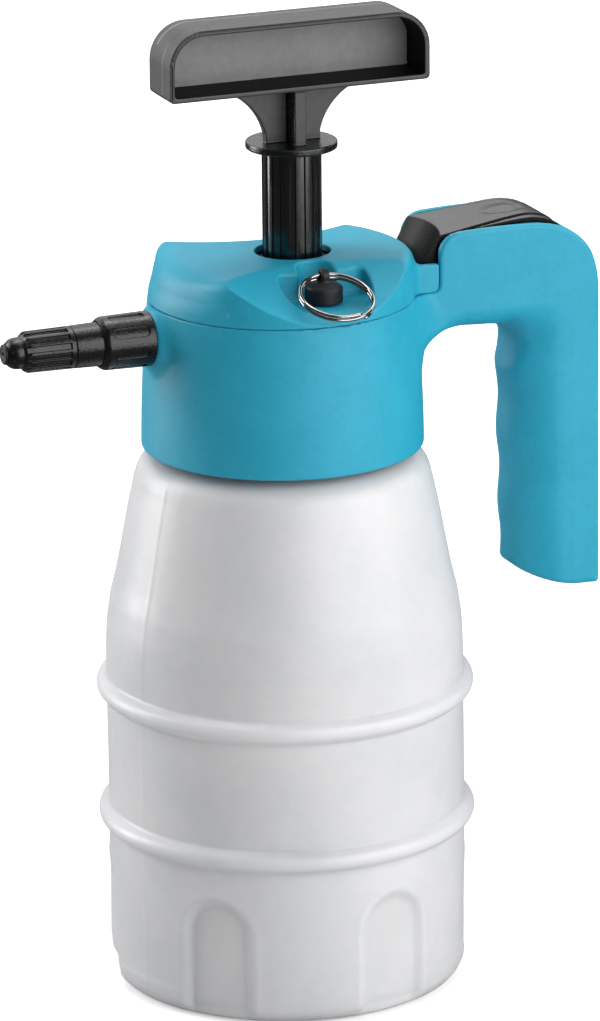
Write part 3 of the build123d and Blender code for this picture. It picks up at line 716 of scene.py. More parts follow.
# Neck and inner wall as (radius, z), from the neck's rim down to the floor's middle
NECK = [(NECK_R, 180.0), (26.5, 180.0), (26.5, 159.2)]
INNER_WALL = [(33.0, 158.0), (37.6, 156.9), (40.3, 155.0), (41.6, 152.4), (47.3, 124.2),
              (49.9, 113.0), (50.6, 104.0), (50.7, 60.0), (50.7, 8.0), (49.6, 3.2),
              (47.0, 1.9), (41.8, 1.9), (36.4, 4.8), (0.0, 4.8)]


def hoop_bead(z, r):
    crown = []
    for k in range(9):
        a = math.radians(-62 + 124 * k / 8)
        crown.append((r + 0.75 + 2.15 * math.cos(a), z + 2.55 * math.sin(a)))
    return ([(r, z - 4.6), (r + 0.08, z - 3.9), (r + 0.35, z - 3.3)] + crown
            + [(r + 0.35, z + 3.3), (r + 0.08, z + 3.9), (r, z + 4.6)])


def tank_mesh():
    outer = (FLOOR_RIM + LOWER_WALL + hoop_bead(50.2, 52.5) + MID_WALL + hoop_bead(89.4, 52.45)
             + SHOULDER)
    smooth = [outer[0]] + spline(outer, 4)
    smooth = [p for i, p in enumerate(smooth) if i == 0 or math.dist(p, smooth[i - 1]) > 1e-4]
    fine = []
    for a, b in zip(smooth, smooth[1:]):
        longest = 1.0 if a[1] > 2 else 2.0
        n = max(1, int(math.ceil(math.dist(a, b) / longest)))
        fine += [(a[0] + (b[0] - a[0]) * k / n, a[1] + (b[1] - a[1]) * k / n) for k in range(n)]
    fine.append(smooth[-1])

    def reshape(angle, radius, z):
        outside = (np.arange(len(radius)) < len(fine))[:, None]
        degrees = np.degrees(angle)
        # arched foot panels, cut back with soft edges
        panel = np.full(radius.shape, 1e9)
        for k in range(PANELS):
            off = (degrees - (PANEL_START + 360 / PANELS * k) + 180) % 360 - 180
            u = np.radians(off) * 52.5
            arch_z = PANEL_TOP - PANEL_HALF
            panel = np.minimum(panel, np.where(z > arch_z, hypot(u, z - arch_z) - PANEL_HALF,
                                               np.abs(u) - PANEL_HALF))
        sunk = smoothstep(1.4, -2.4, panel)
        depth = PANEL_DEPTH * sunk * smoothstep(-0.5, 4.0, z) * (radius > 47.5)
        # a faint rolled lip just outside the arch
        lip = 0.16 * np.exp(-((panel - 1.6) / 1.1) ** 2) * (z > 3) * (z < 40) * (radius > 49)
        inside = np.where((z < 38) & (radius > 46), radius - 2.1 * sunk, radius)
        radius = np.where(outside, radius - depth + lip, inside)
        for ridge_angle in RIDGES:
            d = np.radians((degrees - ridge_angle + 180) % 360 - 180) * 52.0
            ridge = 0.15 * np.exp(-(d / 0.6) ** 2) - 0.05 * np.exp(-(d / 5.0) ** 2)
            radius = np.where(outside & (z > 3) & (z < 158), radius + ridge, radius)
        # slow unevenness of a blown wall
        uneven = 0.10 * np.sin(3 * angle + z * 0.045) + 0.07 * np.sin(5 * angle - z * 0.08 + 1.3)
        return radius + np.where(outside & (z > 8) & (z < 152), uneven, 0)

    return lathe(fine + NECK + INNER_WALL, 384, reshape=reshape)


tank = add_mesh("tank_wall", *tank_mesh(), "tank", "tank", [HDPE])
sharpen(tank, 60)


def add_thread(name, body, radius, depth, z_start, angle, inward, mat):
    """A helical rib that fades in and out at its ends."""
    turns, pitch = 1.4, 6.0
    count = int(96 * turns)
    side = -1 if inward else 1
    points, faces = [], []
    for i in range(count + 1):
        a = angle + 2 * math.pi * turns * i / count
        z = z_start + pitch * turns * i / count
        fade = min(1, i / 8, (count - i) / 8)
        fade = fade * fade * (3 - 2 * fade)
        height = depth * (0.06 + 0.94 * fade)
        for dr, dz in ((-0.3, -1.3), (height, -0.7), (height, 0.7), (-0.3, 1.3)):
            r = radius + side * dr
            points.append((r * math.cos(a), r * math.sin(a), z + dz * (0.3 + 0.7 * fade)))
        if i:
            b = 4 * (i - 1)
            faces += [[b + k, b + (k + 1) % 4, b + 4 + (k + 1) % 4, b + 4 + k] for k in range(4)]
    faces += [[3, 2, 1, 0], [len(points) - 4 + k for k in range(4)]]
    if inward:
        faces = [face[::-1] for face in faces]
    rib = add_mesh(name, np.array(points), faces, body, None, [mat])
    sharpen(rib, 30)


add_thread("tank_thread", "tank", radius=NECK_R, depth=2.1, z_start=166.0, angle=0.0,
           inward=False, mat=HDPE)

# ---- Head: collar, nozzle boss and hollow pistol handle, one moulding ----
GRIP_TIP_X = 66.9
WALL = 2.2                            # collar and cover wall thickness

# Bridge and grip seen from the side, (x, z)
handle_side = OutlineField(outline(
    (20.0, 205.55), (41.0, 205.55), ("arc", (42.66, 206.24), (43.35, 207.9)), (43.35, 215.8),
    ("arc", (45.3, 220.6), (50.2, 222.6)),
    ("curve", (58.5, 223.0), (66.6, 223.0), (73.4, 222.8), (78.9, 222.0), (83.0, 220.6),
     (87.4, 217.9), (91.3, 213.4), (93.4, 208.0), (94.2, 203.0)),
    (94.5, 112.4), ("arc", (94.1, 111.45), (93.2, 111.1)),
    ("curve", (86.0, 111.6), (79.0, 113.0), (73.0, 115.2), (69.8, 117.6)),
    (62.5, 124.0), (62.5, 172.0), ("curve", (65.4, 176.5), (67.3, 180.2), (67.9, 183.2)),
    ("arc", (66.3, 189.6), (59.0, 193.0)), (52.0, 193.4), (36.0, 193.2), (30.0, 186.0),
    (20.0, 186.0)))
# Grip seen from above, (x, y): a D whose round side faces the nozzle; the +y half is measured
GRIP_HALF = [(GRIP_TIP_X, 0.0), (67.35, 4.0), (69.0, 7.9), (72.3, 11.0), (76.2, 13.3),
             (80.6, 14.9), (86.0, HALF)]
grip_plan = OutlineField(
    [(86.0, -HALF)] + spline([(x, -y) for x, y in reversed(GRIP_HALF)] + GRIP_HALF[1:], 6)
    + [(104.0, HALF), (104.0, -HALF)])
# Hollow through bridge and grip from the side, (x, z), open above and below
hollow_side = OutlineField(outline(
    (33.0, 196.4), (33.0, 236.0), (84.6, 236.0), (84.6, 217.4),
    ("arc", (88.9, 212.8), (91.0, 206.0)), (91.7, 100.0), (71.6, 100.0), (71.6, 189.6),
    (68.0, 196.4)))


def grip_nose_x(z):
    """The grip's -x face: a slight lean with finger waves."""
    z = np.clip(z, 117.0, 184.0)
    return (68.5 + 0.022 * (178.5 - z)
            + 0.45 * (1 - np.cos(2 * np.pi * (178.5 - z) / 22.3)))


def collar_radius(z):
    t = (z - COLLAR_FOOT) / (PART_Z - COLLAR_FOOT)
    return 41.15 - 0.35 * t - 2.0 * t * t


def handle_width(x, y, z, inset):
    """D-shaped on the grip, flat-sided along the bridge."""
    flat = 1 - (1 - smoothstep(186.0, 199.0, z)) * np.maximum(
        smoothstep(60.5, 68.5, x), smoothstep(190.0, 184.0, z) * smoothstep(48.0, 56.0, x))
    shifted = x - (grip_nose_x(z) - GRIP_TIP_X) * smoothstep(86.0, 70.0, x)
    return mix(grip_plan(shifted, y) + inset, np.abs(y) - (HALF - inset), flat)


def head_field(x, y, z):
    radius = hypot(x, y)
    pump_radius = hypot(x - PUMP_X, y)
    dip_radius = hypot(x - DIP_X, y)
    nozzle_radius = hypot(y, z - NOZZLE_Z)
    collar_side = radius - collar_radius(z)
    collar = round_overlap(collar_side, COLLAR_FOOT - z, 0.9)
    # tight edges along the sides, softer down the +x back, broadly rolled under the bridge
    under = (smoothstep(209.0, 198.0, z) * smoothstep(40.0, 52.0, x)
             * smoothstep(88.0, 78.0, x) * smoothstep(172.0, 182.0, z))
    soft = 5.0 * under + 0.8 * smoothstep(85.0, 91.0, x) * smoothstep(218.0, 206.0, z)
    handle = round_overlap(handle_side(x, z), handle_width(x, y, z, 0.0), 1.15 + soft)
    boss = round_overlap(nozzle_radius - 8.35, -41.0 - x, 0.9)
    boss = overlap(boss, x + 30.0)
    head = round_join(collar, handle, 6.5 + 2.8 * smoothstep(206.0, 198.0, z))
    head = round_join(head, boss, 4.2)
    # above the joint line only the handle stays
    keep = round_join(z - (PART_Z - 0.08), 43.35 - x, 2.35)
    head = round_overlap(head, keep, 0.25)
    # spigot beyond the boss
    head = join(head, overlap(nozzle_radius - 6.9, between(x, -47.0, -36.0)))
    # collar hollowed below and above its deck
    for cavity in (z - 181.5, 184.0 - z):
        head = round_cut(head, overlap(collar_side + WALL, cavity), 0.3)
    hollow = round_overlap(hollow_side(x, z), handle_width(x, y, z, 2.4), 0.5 + 0.8 * soft)
    head = round_cut(head, hollow, 0.45)
    # valve opening and trigger pin hole
    head = cut(head, overlap(hypot(y, z - VALVE_Z) - 5.3, np.abs(x - 37.5) - 4.6))
    pin = hypot(x - PIVOT_X, z - PIVOT_Z) - PIVOT_BORE
    head = cut(head, overlap(pin, np.abs(y) - 14.4))
    # threaded sleeve, pump boss and dip tube boss
    head = join(head, overlap(between(radius, HEAD_BORE, 34.2), between(z, 164.6, 183.0)),
                overlap(pump_radius - 14.6, between(z, 181.6, 204.95)),
                overlap(dip_radius - 4.1, between(z, 171.5, 185.4)))
    # bores for pump, dip tube, nozzle and relief valve
    head = cut(head, pump_radius - 12.62)
    head = cut(head, overlap(dip_radius - 2.75, z - 186.0))
    head = cut(head, overlap(nozzle_radius - 3.2, x + 30.0))
    return cut(head, hypot(x - RELIEF_X, y - RELIEF_Y) - 1.5)


mould("head_shell", head_field, (-49, -43, 109.5), (96, 43, 225), 0.72,
      "head", "head_body", [BLUE])
# (radius, z)
RELIEF_TUBE = [(1.5, 184.1), (3.35, 184.1), (3.35, 203.95), (4.4, 203.95), (4.4, 184.05),
               (1.5, 184.05)]
relief_tube = add_mesh("relief_tube", *lathe(RELIEF_TUBE, 48, origin=(RELIEF_X, RELIEF_Y, 0)),
                       "head", None, [BLUE])
sharpen(relief_tube, 30)
add_thread("head_thread", "head", radius=HEAD_BORE, depth=2.0, z_start=164.55,
           angle=math.radians(36), inward=True, mat=BLUE)

# ---- Top cover: crowned disc, two side scoops, relief valve pocket, ears at the handle ----
TOP_Z = 218.8
EAR_X = 43.15
GAP_HALF = 13.1                       # half width of the opening between the ears
POCKET_FLOOR = 208.9
SCOOP_R, SCOOP_Y = 105.0, 15.0        # each scoop's radius and where it leaves the flat top
SCOOP_TILT = math.radians(27.6)

# Dome as (radius, z): soft all round, crisper toward the nozzle
soft_dome = OutlineField(outline(
    (-20.0, 200.0), (38.82, 200.0), (38.78, 205.8), ("curve", (38.3, 208.6), (37.3, 211.6)),
    ("arc", (34.6, 216.7), (28.6, TOP_Z)), (-20.0, TOP_Z)), 0.35)
crisp_dome = OutlineField(outline(
    (-20.0, 200.0), (38.82, 200.0), (38.78, 205.8), ("curve", (38.72, 210.0), (38.4, 214.6)),
    ("arc", (37.5, 217.7), (34.8, TOP_Z)), (-20.0, TOP_Z)), 0.35)


def scoop(x, y, z, side, grow=0.0):
    """Inside of the big tilted cylinder that hollows one side."""
    ny, nz = side * math.sin(SCOOP_TILT), math.cos(SCOOP_TILT)
    cy, cz = side * SCOOP_Y + ny * SCOOP_R, TOP_Z + nz * SCOOP_R
    across = (y - cy) * ny + (z - cz) * nz
    return hypot(x - PUMP_X, across) - (SCOOP_R + grow)


def cover_field(x, y, z):
    radius = hypot(x, y)
    crisp = 1 - smoothstep(0.70, 0.96, -x / np.maximum(radius, 1e-6))
    dome = mix(crisp_dome(radius, z), soft_dome(radius, z), 1 - crisp)
    dome = mix(soft_dome(radius, z), crisp_dome(radius, z), crisp)
    ears = round_overlap(round_overlap(np.abs(y) - HALF, z - 213.9, 0.5), x - EAR_X, 0.5)
    ears = overlap(ears, 24.0 - x)
    cover = round_join(dome, ears, 2.4)
    gap = overlap(np.abs(y) - GAP_HALF, -(dome - 0.05), 30.0 - x)
    cover = round_cut(cover, gap, 0.3)
    # level joint line, with a rounded lower corner on the ears
    lower = round_overlap(PART_Z - z, x - EAR_X, 2.2)
    cover = round_overlap(cover, lower, 0.2)
    for side in (-1, 1):
        cover = round_cut(cover, scoop(x, y, z, side), 0.55)
    # valve pocket: round in plan, straight toward the pump, with a notch on that side
    pocket = round_overlap(hypot(x - 4.1, y - RELIEF_Y) - 13.7, y + 19.2, 1.6)
    pocket = round_overlap(pocket, POCKET_FLOOR + 0.10 * np.maximum(x - 9.0, 0) - z, 2.0)
    cover = round_cut(cover, pocket, 0.7)
    notch_radius = hypot(x - PUMP_X, np.maximum(y + 18.4, 0))
    notch = round_overlap(notch_radius - 5.75, POCKET_FLOOR + 0.8 - z, 1.5)
    notch = cut(notch, y + 30.0)
    cover = round_cut(cover, notch, 0.7)
    # hollow underneath, leaving a wall round the scoops, pocket and notch
    hollow = overlap(dome + WALL, z - (TOP_Z - 2.0))
    for side in (-1, 1):
        hollow = cut(hollow, scoop(x, y, z, side, 2.0))
    below_floor = POCKET_FLOOR - 2.0 - z
    pocket_wall = overlap(hypot(x - 4.1, y - RELIEF_Y) - 15.6, y + 17.3, below_floor)
    notch_wall = overlap(notch_radius - 7.4, below_floor, -(y + 30.0))
    hollow = cut(hollow, join(pocket_wall, notch_wall))
    cover = round_cut(cover, hollow, 0.3)
    # holes for pump and relief valve
    cover = round_cut(cover, hypot(x - PUMP_X, y) - 11.05, 0.4)
    return round_cut(cover, hypot(x - RELIEF_X, y - RELIEF_Y) - 2.0, 0.2)


mould("head_cover", cover_field, (-41, -41, 204.5), (45, 41, 220.5), 0.45,
      "head", "top_cover", [BLUE])

# ---- Trigger: dished -x face, thumb hollow on top, stepped sides, arm down to the valve ----
EDGE_X, EDGE_Z = 44.5, 221.75         # upper edge of the -x face

# Seen from the side, (x, z): lever, its hollow underneath, and the arm
lever_side = OutlineField(outline(
    (40.2, 209.2), (39.9, 213.0), (EDGE_X, EDGE_Z),
    ("curve", (50.0, 222.45), (55.1, 223.1), (64.6, 224.15), (70.7, 224.65), (74.2, 224.6),
     (78.8, 223.6), (81.5, 222.1), (83.8, 220.0)),
    (83.3, 217.6), (79.0, 215.6), (60.0, 212.4), (55.0, 209.2)), 0.3, 4.0)
lever_hollow = OutlineField(outline(
    (44.0, 206.0), (44.2, 213.6), (47.0, 219.4),
    ("curve", (55.1, 221.2), (64.6, 222.4), (70.7, 223.0), (75.0, 222.4), (80.6, 218.6)),
    (80.4, 206.0)), 0.4, 4.0)
arm_side = OutlineField(outline(
    (46.6, 214.0), (47.9, 201.5), ("arc", (50.5, 197.1), (53.1, 201.5)), (54.0, 214.0),
    (52.6, 221.0), (47.8, 220.0)), 0.4, 4.0)


def trigger_field(x, y, z):
    across = np.abs(y)
    half_width = 12.45 - 4.1 * np.clip((x - 46.5) / 29.0, 0, 1.2)
    side = lever_side(x, z)
    lever = round_overlap(side, across - half_width, 0.45)
    # thumb hollow
    tx, ty, tz = (x - 67.5) / 14.5, y / 8.6, (z - 228.6) / 5.0
    thumb = (np.sqrt(tx * tx + ty * ty + tz * tz) - 1) * 5.0
    lever = round_overlap(lever, -thumb, 0.35)
    # a lower skirt stands outside the tapering top plate, with a narrow channel between
    skirt = round_overlap(lever_side(x, z + 0.40), across - 12.6, 0.35)
    lever = join(lever, skirt)
    channel = overlap(np.abs(across - half_width - 0.55) - 0.5, -(side + 2.6), 47.5 - x)
    lever = round_overlap(lever, -channel, 0.12)
    # -x face hollowed from side to side
    face = -(x - EDGE_X) * 0.885 + (z - EDGE_Z) * 0.4655
    lever = round_overlap(lever, face + 2.3 * np.maximum(1 - (y / 12.5) ** 2, 0), 0.28)
    lever = round_cut(lever, overlap(lever_hollow(x, z), across - 9.9), 0.4)
    lever = round_join(lever, round_overlap(arm_side(x, z), across - 4.0, 0.5), 0.6)
    # pin boss, spring peg and pin bore
    pin_radius = hypot(x - PIVOT_X, z - PIVOT_Z)
    lever = join(lever, overlap(pin_radius - 3.6, across - 12.4),
                 overlap(hypot(x - 63.0, y) - 2.25, between(z, 217.0, 222.8)))
    return cut(lever, pin_radius - PIVOT_BORE)


mould("trigger_shell", trigger_field, (38.5, -13.6, 195.6), (85.5, 13.6, 227.5), 0.36,
      "trigger", "trigger_lever", [BLACK_TRIGGER])

# ---- T-handle: bar hollowed from -y, web, rib and stop disc ----
BAR_X0, BAR_X1 = -36.7, 43.5
BAR_Z0, BAR_Z1 = 267.35, 288.05
BAR_HALF = 8.5
RIB_SHIFT = 0.3


def bar_outline(inset):
    """Bar seen from the side, (x, z), with large upper and small lower corner radii."""
    top, low = 10.7 - inset, max(1.6 - inset * 0.6, 0.5)
    x0, x1, z0, z1 = BAR_X0 + inset, BAR_X1 - inset, BAR_Z0 + inset, BAR_Z1 - inset
    k = 0.29289                       # 1 - cos 45 degrees, for the arcs' middle points
    return OutlineField(outline(
        (x0 + low, z0),
        (x1 - low, z0), ("arc", (x1 - low * k, z0 + low * k), (x1, z0 + low)),
        (x1, z1 - top), ("arc", (x1 - top * k, z1 - top * k), (x1 - top, z1)),
        (x0 + top, z1), ("arc", (x0 + top * k, z1 - top * k), (x0, z1 - top)),
        (x0, z0 + low), ("arc", (x0 + low * k, z0 + low * k), (x0 + low, z0))), 0.35)


bar_outer, bar_inner = bar_outline(0.0), bar_outline(1.7)
web_side = OutlineField(outline(
    (PUMP_X - 8.2, 250.6), (PUMP_X + 8.3, 250.6), (PUMP_X + 8.5, 254.0),
    ("arc", (PUMP_X + 12.9, 262.3), (PUMP_X + 23.5, 267.9)), (PUMP_X + 23.5, 270.0),
    (PUMP_X - 23.5, 270.0), (PUMP_X - 23.5, 267.9),
    ("arc", (PUMP_X - 12.9, 262.3), (PUMP_X - 8.5, 254.0))), 0.3)


def handle_field(x, y, z):
    draft = (y + BAR_HALF) * 0.010
    bar = round_overlap(bar_outer(x, z) + draft, np.abs(y) - BAR_HALF, 0.45)
    # fine step where the two mould halves meet
    bar = bar + 0.07 * smoothstep(-2.2, -2.6, y) * (np.abs(bar) < 2)
    recess = round_overlap(bar_inner(x, z) + (y + BAR_HALF) * 0.012,
                           y - (-BAR_HALF + 12.9), 0.6)
    bar = round_cut(bar, recess, 0.35)
    # thin line sunk in the rim's -y face
    line = overlap(np.abs(bar_outer(x, z) + 0.62) - 0.16, y - (-BAR_HALF + 0.22))
    bar = round_cut(bar, line, 0.12)
    web = round_overlap(web_side(x, z), np.abs(y) - 1.5, 0.3)
    rib = round_overlap(np.abs(x - PUMP_X + RIB_SHIFT) - 1.75, np.abs(y) - 8.0, 0.25)
    rib = round_overlap(rib, between(z, 250.4, 269.0), 0.2)
    web = overlap(round_join(web, rib, 0.5), z - 268.4)
    radius = hypot(x - PUMP_X, y)
    disc = round_overlap(radius - 13.3, np.abs(z - 250.42) - 1.06, 0.45)
    handle = round_join(round_join(bar, web, 0.45), disc, 0.35)
    # stub inside the rod
    return join(handle, overlap(between(radius, 4.0, 5.85), between(z, 236.0, 250.0)))


handle, points, quads = mould(
    "t_handle_grip", handle_field, (-38.5, -14.5, 235.0), (45.5, 14.5, 289.6), 0.4,
    "pump_handle", "t_handle", [HANDLE_GREY, RECESS_FLOOR_LIT, BLACK_GRAIN, RECESS_WALL_SHADE])
polygons = handle.data.polygons
fx, fy, fz = points[quads].mean(1).T
# recess walls get near-black as painted shade, the recess floor a lighter grey as painted
# reflection
recess_walls = (np.abs(fy) < 8.3) & (bar_inner(fx, fz) < 0.25) & (fz > BAR_Z0 + 0.5)
recess_floor = ((fy > 4.15) & (fy < 5.2) & (fz > BAR_Z0 + 1.4)
                & (fx > BAR_X0 + 1.4) & (fx < BAR_X1 - 1.4))
# face centres only match the polygons if validation dropped none
if len(polygons) == len(quads):
    normals = np.empty(len(quads) * 3)
    polygons.foreach_get("normal", normals)
    # the rib's side faces turn black as painted shade; the disc and stub below z 251.7 are black
    # too
    on_rib = (np.abs(fx - PUMP_X + RIB_SHIFT) < 2.6) & (fz < BAR_Z0)
    dark = (fz < 251.7) | (on_rib & (np.abs(normals.reshape(-1, 3)[:, 0]) > 0.6))
    slots = np.where(recess_floor, 1, np.where(recess_walls, 3, np.where(dark, 2, 0)))
    polygons.foreach_set("material_index", slots.astype(np.int32))

# ---- Fluted pump rod ----
FLUTES, FLUTE_DEPTH = 18, 0.62
ROD_R = 8.65
# (radius, z), from the lower tip up the outside and down the bore
ROD = ([(0.0, 127.2), (4.9, 127.2), (5.0, 127.5), (5.0, 137.0), (8.3, 137.0), (ROD_R, 137.4),
        (ROD_R, 139.5), (ROD_R, 140.6), (ROD_R, 141.4)]
       + [(ROD_R, z) for z in np.linspace(146, 240, 12)]
       + [(ROD_R, 248.8), (ROD_R, 249.05), (ROD_R, 249.35), (6.0, 249.35), (6.0, 139.8),
          (0.0, 139.8)])


def flute_rod(angle, radius, z):
    phase = (angle * FLUTES / (2 * np.pi)) % 1.0
    off_flute = np.abs(phase - 0.5) * 2      # 0 in a flute's middle, 1 on a rib's
    flute = smoothstep(0.60, 0.40, off_flute)
    run = smoothstep(139.6, 141.4, z) * smoothstep(249.0, 248.9, z)
    return np.where(radius > 8.5, radius - FLUTE_DEPTH * flute * run, radius)


rod = add_mesh("pump_rod_fluted", *lathe(ROD, 432, origin=(PUMP_X, 0, 0), reshape=flute_rod),
               "pump_handle", "pump_rod", [BLACK_GLOSS])
sharpen(rod, 40)

# ---- Nozzle: slotted nut, fixed sleeve, fluted cap and tip, all along the x axis ----
NUT_SLOTS, CAP_FLUTES = 8, 14
DOME_X = -81.5
NOZZLE_ORIGIN = (0, 0, NOZZLE_Z)


def nut_field(x, y, z):
    up = z - NOZZLE_Z
    radius = hypot(y, up)
    nut = round_overlap(radius - (8.05 + (x + 41.0) * 0.018), x + 41.1, 0.45)
    chamfer = (radius - 6.75) * 0.80 + (-57.0 - x) * 0.60
    nut = round_overlap(nut, overlap(chamfer, -57.0 - x), 0.35)
    around = sector_angle(np.arctan2(up, -y), NUT_SLOTS, math.radians(13.8)) * 7.9
    slot = hypot(np.maximum(np.abs(x + 48.6) - 4.0, 0), around) - 1.45
    nut = round_cut(nut, overlap(slot, 7.45 - radius), 0.18)
    return round_cut(nut, np.where(x > -50.1, radius - 7.0, radius - 6.62), 0.15)


mould("nozzle_nut", nut_field, (-58.2, -9.2, NOZZLE_Z - 9.2), (-40.2, 9.2, NOZZLE_Z + 9.2), 0.2,
      "union_nut", "union_nut", [BLACK_GRAIN])


def cap_field(x, y, z):
    up = z - NOZZLE_Z
    radius = hypot(y, up)
    cap = round_overlap(radius - (6.18 + (x + 65.0) * 0.012), x + 65.12, 0.06)
    shoulder = (radius - 5.0) * 0.66 + (-80.0 - x) * 0.75
    cap = round_overlap(cap, shoulder, 0.5)
    # flutes: level floors, square ends toward the nut, running out at the shoulder
    around = sector_angle(np.arctan2(up, -y), CAP_FLUTES, 0.12) * 6.1
    flute = overlap(np.abs(around) - 0.92, between(x, -81.4, -66.5))
    floor_radius = 5.42 - 0.25 * smoothstep(-76.5, -79.5, x)
    cap = round_cut(cap, round_overlap(flute, floor_radius - radius, 0.15), 0.14)
    # flat-faced dome on a short neck
    dome = (hypot((x - DOME_X) / 4.2, radius / 4.6) - 1) * 4.3
    dome = round_overlap(np.where(x > DOME_X, radius - 4.6, dome), -84.75 - x, 0.25)
    cap = round_join(cap, overlap(dome, x + 79.0), 0.25)
    bore = np.where(x > -77.2, radius - 4.82, np.where(x > -79.05, radius - 4.05, radius - 2.9))
    return round_cut(cap, bore, 0.1)


mould("nozzle_cap_fluted", cap_field, (-85.6, -7.0, NOZZLE_Z - 7.0),
      (-64.4, 7.0, NOZZLE_Z + 7.0), 0.17, "nozzle", "nozzle_cap", [BLACK_GRAIN])

# Turned parts: radius, x, rounding of the corner
SLEEVE = [
    (0.8, -27.2, 0), (1.6, -27.2, 0.2), (1.6, -33.6, 0), (3.0, -33.6, 0.2), (3.0, -48.0, 0),
    (6.9, -48.0, 0.2), (6.9, -50.0, 0.1), (6.52, -50.0, 0.1), (6.48, -54.0, 0),
    (6.2, -65.0, 0.35), (4.4, -65.0, 0.1), (4.4, -68.0, 0.05), (3.5, -68.0, 0), (3.5, -70.0, 0),
    (4.4, -70.0, 0.05), (4.4, -74.0, 0.2), (0.8, -74.0, 0)]
TIP = [
    (0.5, -77.2, 0), (3.95, -77.2, 0.1), (3.95, -79.0, 0.1), (2.85, -79.0, 0), (2.85, -84.6, 0),
    (2.55, -84.8, 0.1), (2.95, -85.05, 0.1), (2.95, -85.35, 0.05), (2.7, -85.6, 0.1),
    (2.2, -85.6, 0.05), (2.05, -85.45, 0.05), (0.9, -85.45, 0.1), (0.5, -85.1, 0)]
for name, rows, segments, body, replaced, mat in (
        ("nozzle_sleeve", SLEEVE, 128, "head", "nozzle_pipe", BLACK_GRAIN),
        ("nozzle_tip_turned", TIP, 96, "nozzle", "nozzle_tip", RUBBER)):
    turned = lathe(round_profile(rows), segments, along_x=True, origin=NOZZLE_ORIGIN)
    sharpen(add_mesh(name, *turned, body, replaced, [mat]), 35)

# ---- Relief valve: rubber cap with neck and eyelet, and a two-turn split ring ----
EYE_Z, HINGE_Z = 217.0, 216.8
# (radius, z)
knob_profile = OutlineField(outline(
    (-4.0, 209.3), (5.1, 209.3), ("arc", (5.4, 209.45), (5.5, 209.8)), (5.48, 213.2),
    ("arc", (5.2, 213.95), (4.5, 214.3)), (3.3, 214.75), ("arc", (2.2, 215.25), (1.72, 216.2)),
    (1.62, 217.0), (-4.0, 217.0)), 0.12, 2.0)


def knob_field(x, y, z):
    dx, dy = x - RELIEF_X, y - RELIEF_Y
    radius = hypot(dx, dy)
    eye = round_overlap(hypot(dy, z - EYE_Z) - 2.15, np.abs(dx) - 1.15, 0.5)
    knob = round_join(knob_profile(radius, z), eye, 0.8)
    knob = round_cut(knob, hypot(dy, z - HINGE_Z) - 1.22, 0.2)
    return cut(knob, overlap(radius - 1.25, z - 212.4))


mould("relief_cap", knob_field, (RELIEF_X - 6.1, RELIEF_Y - 6.1, 208.8),
      (RELIEF_X + 6.1, RELIEF_Y + 6.1, 219.6), 0.17, "relief", "relief_knob", [RUBBER])


def ring_mesh():
    radius, wire, pitch, turns = 10.6, 0.51, 1.22, 1.97
    lead = 150                        # degrees of coil before the point farthest along +y
    tilt = math.radians(22.42)
    steps, sides = 288, 14
    hang = np.array([0, -math.cos(tilt), -math.sin(tilt)])
    normal = np.array([0, -math.sin(tilt), math.cos(tilt)])
    across = np.array([1.0, 0, 0])
    centre = np.array([RELIEF_X, RELIEF_Y, HINGE_Z]) + hang * radius
    along = np.cross(normal, across)
    points, faces = [], []
    for i in range(steps + 1):
        t = i / steps
        a = math.radians(90 - lead) + 2 * math.pi * turns * t
        rise = pitch * (turns * t - lead / 360 - 0.5)
        out = math.cos(a) * across + math.sin(a) * along
        middle = centre + radius * out + normal * rise
        taper = 1.0 if 0 < i < steps else 0.72
        for j in range(sides):
            b = 2 * math.pi * j / sides
            # slightly flattened spring wire
            points.append(middle + out * (wire * 1.02 * taper * math.cos(b))
                          + normal * (wire * 0.97 * taper * math.sin(b)))
        if i:
            low, high = (i - 1) * sides, i * sides
            faces += [[low + j, low + (j + 1) % sides, high + (j + 1) % sides, high + j]
                      for j in range(sides)]
    faces.append(list(range(sides))[::-1])
    faces.append([steps * sides + j for j in range(sides)])
    return np.array(points), faces


sharpen(add_mesh("split_ring", *ring_mesh(), "pull_ring", "pull_ring", [RING]), 50)


# ---- Stage ----

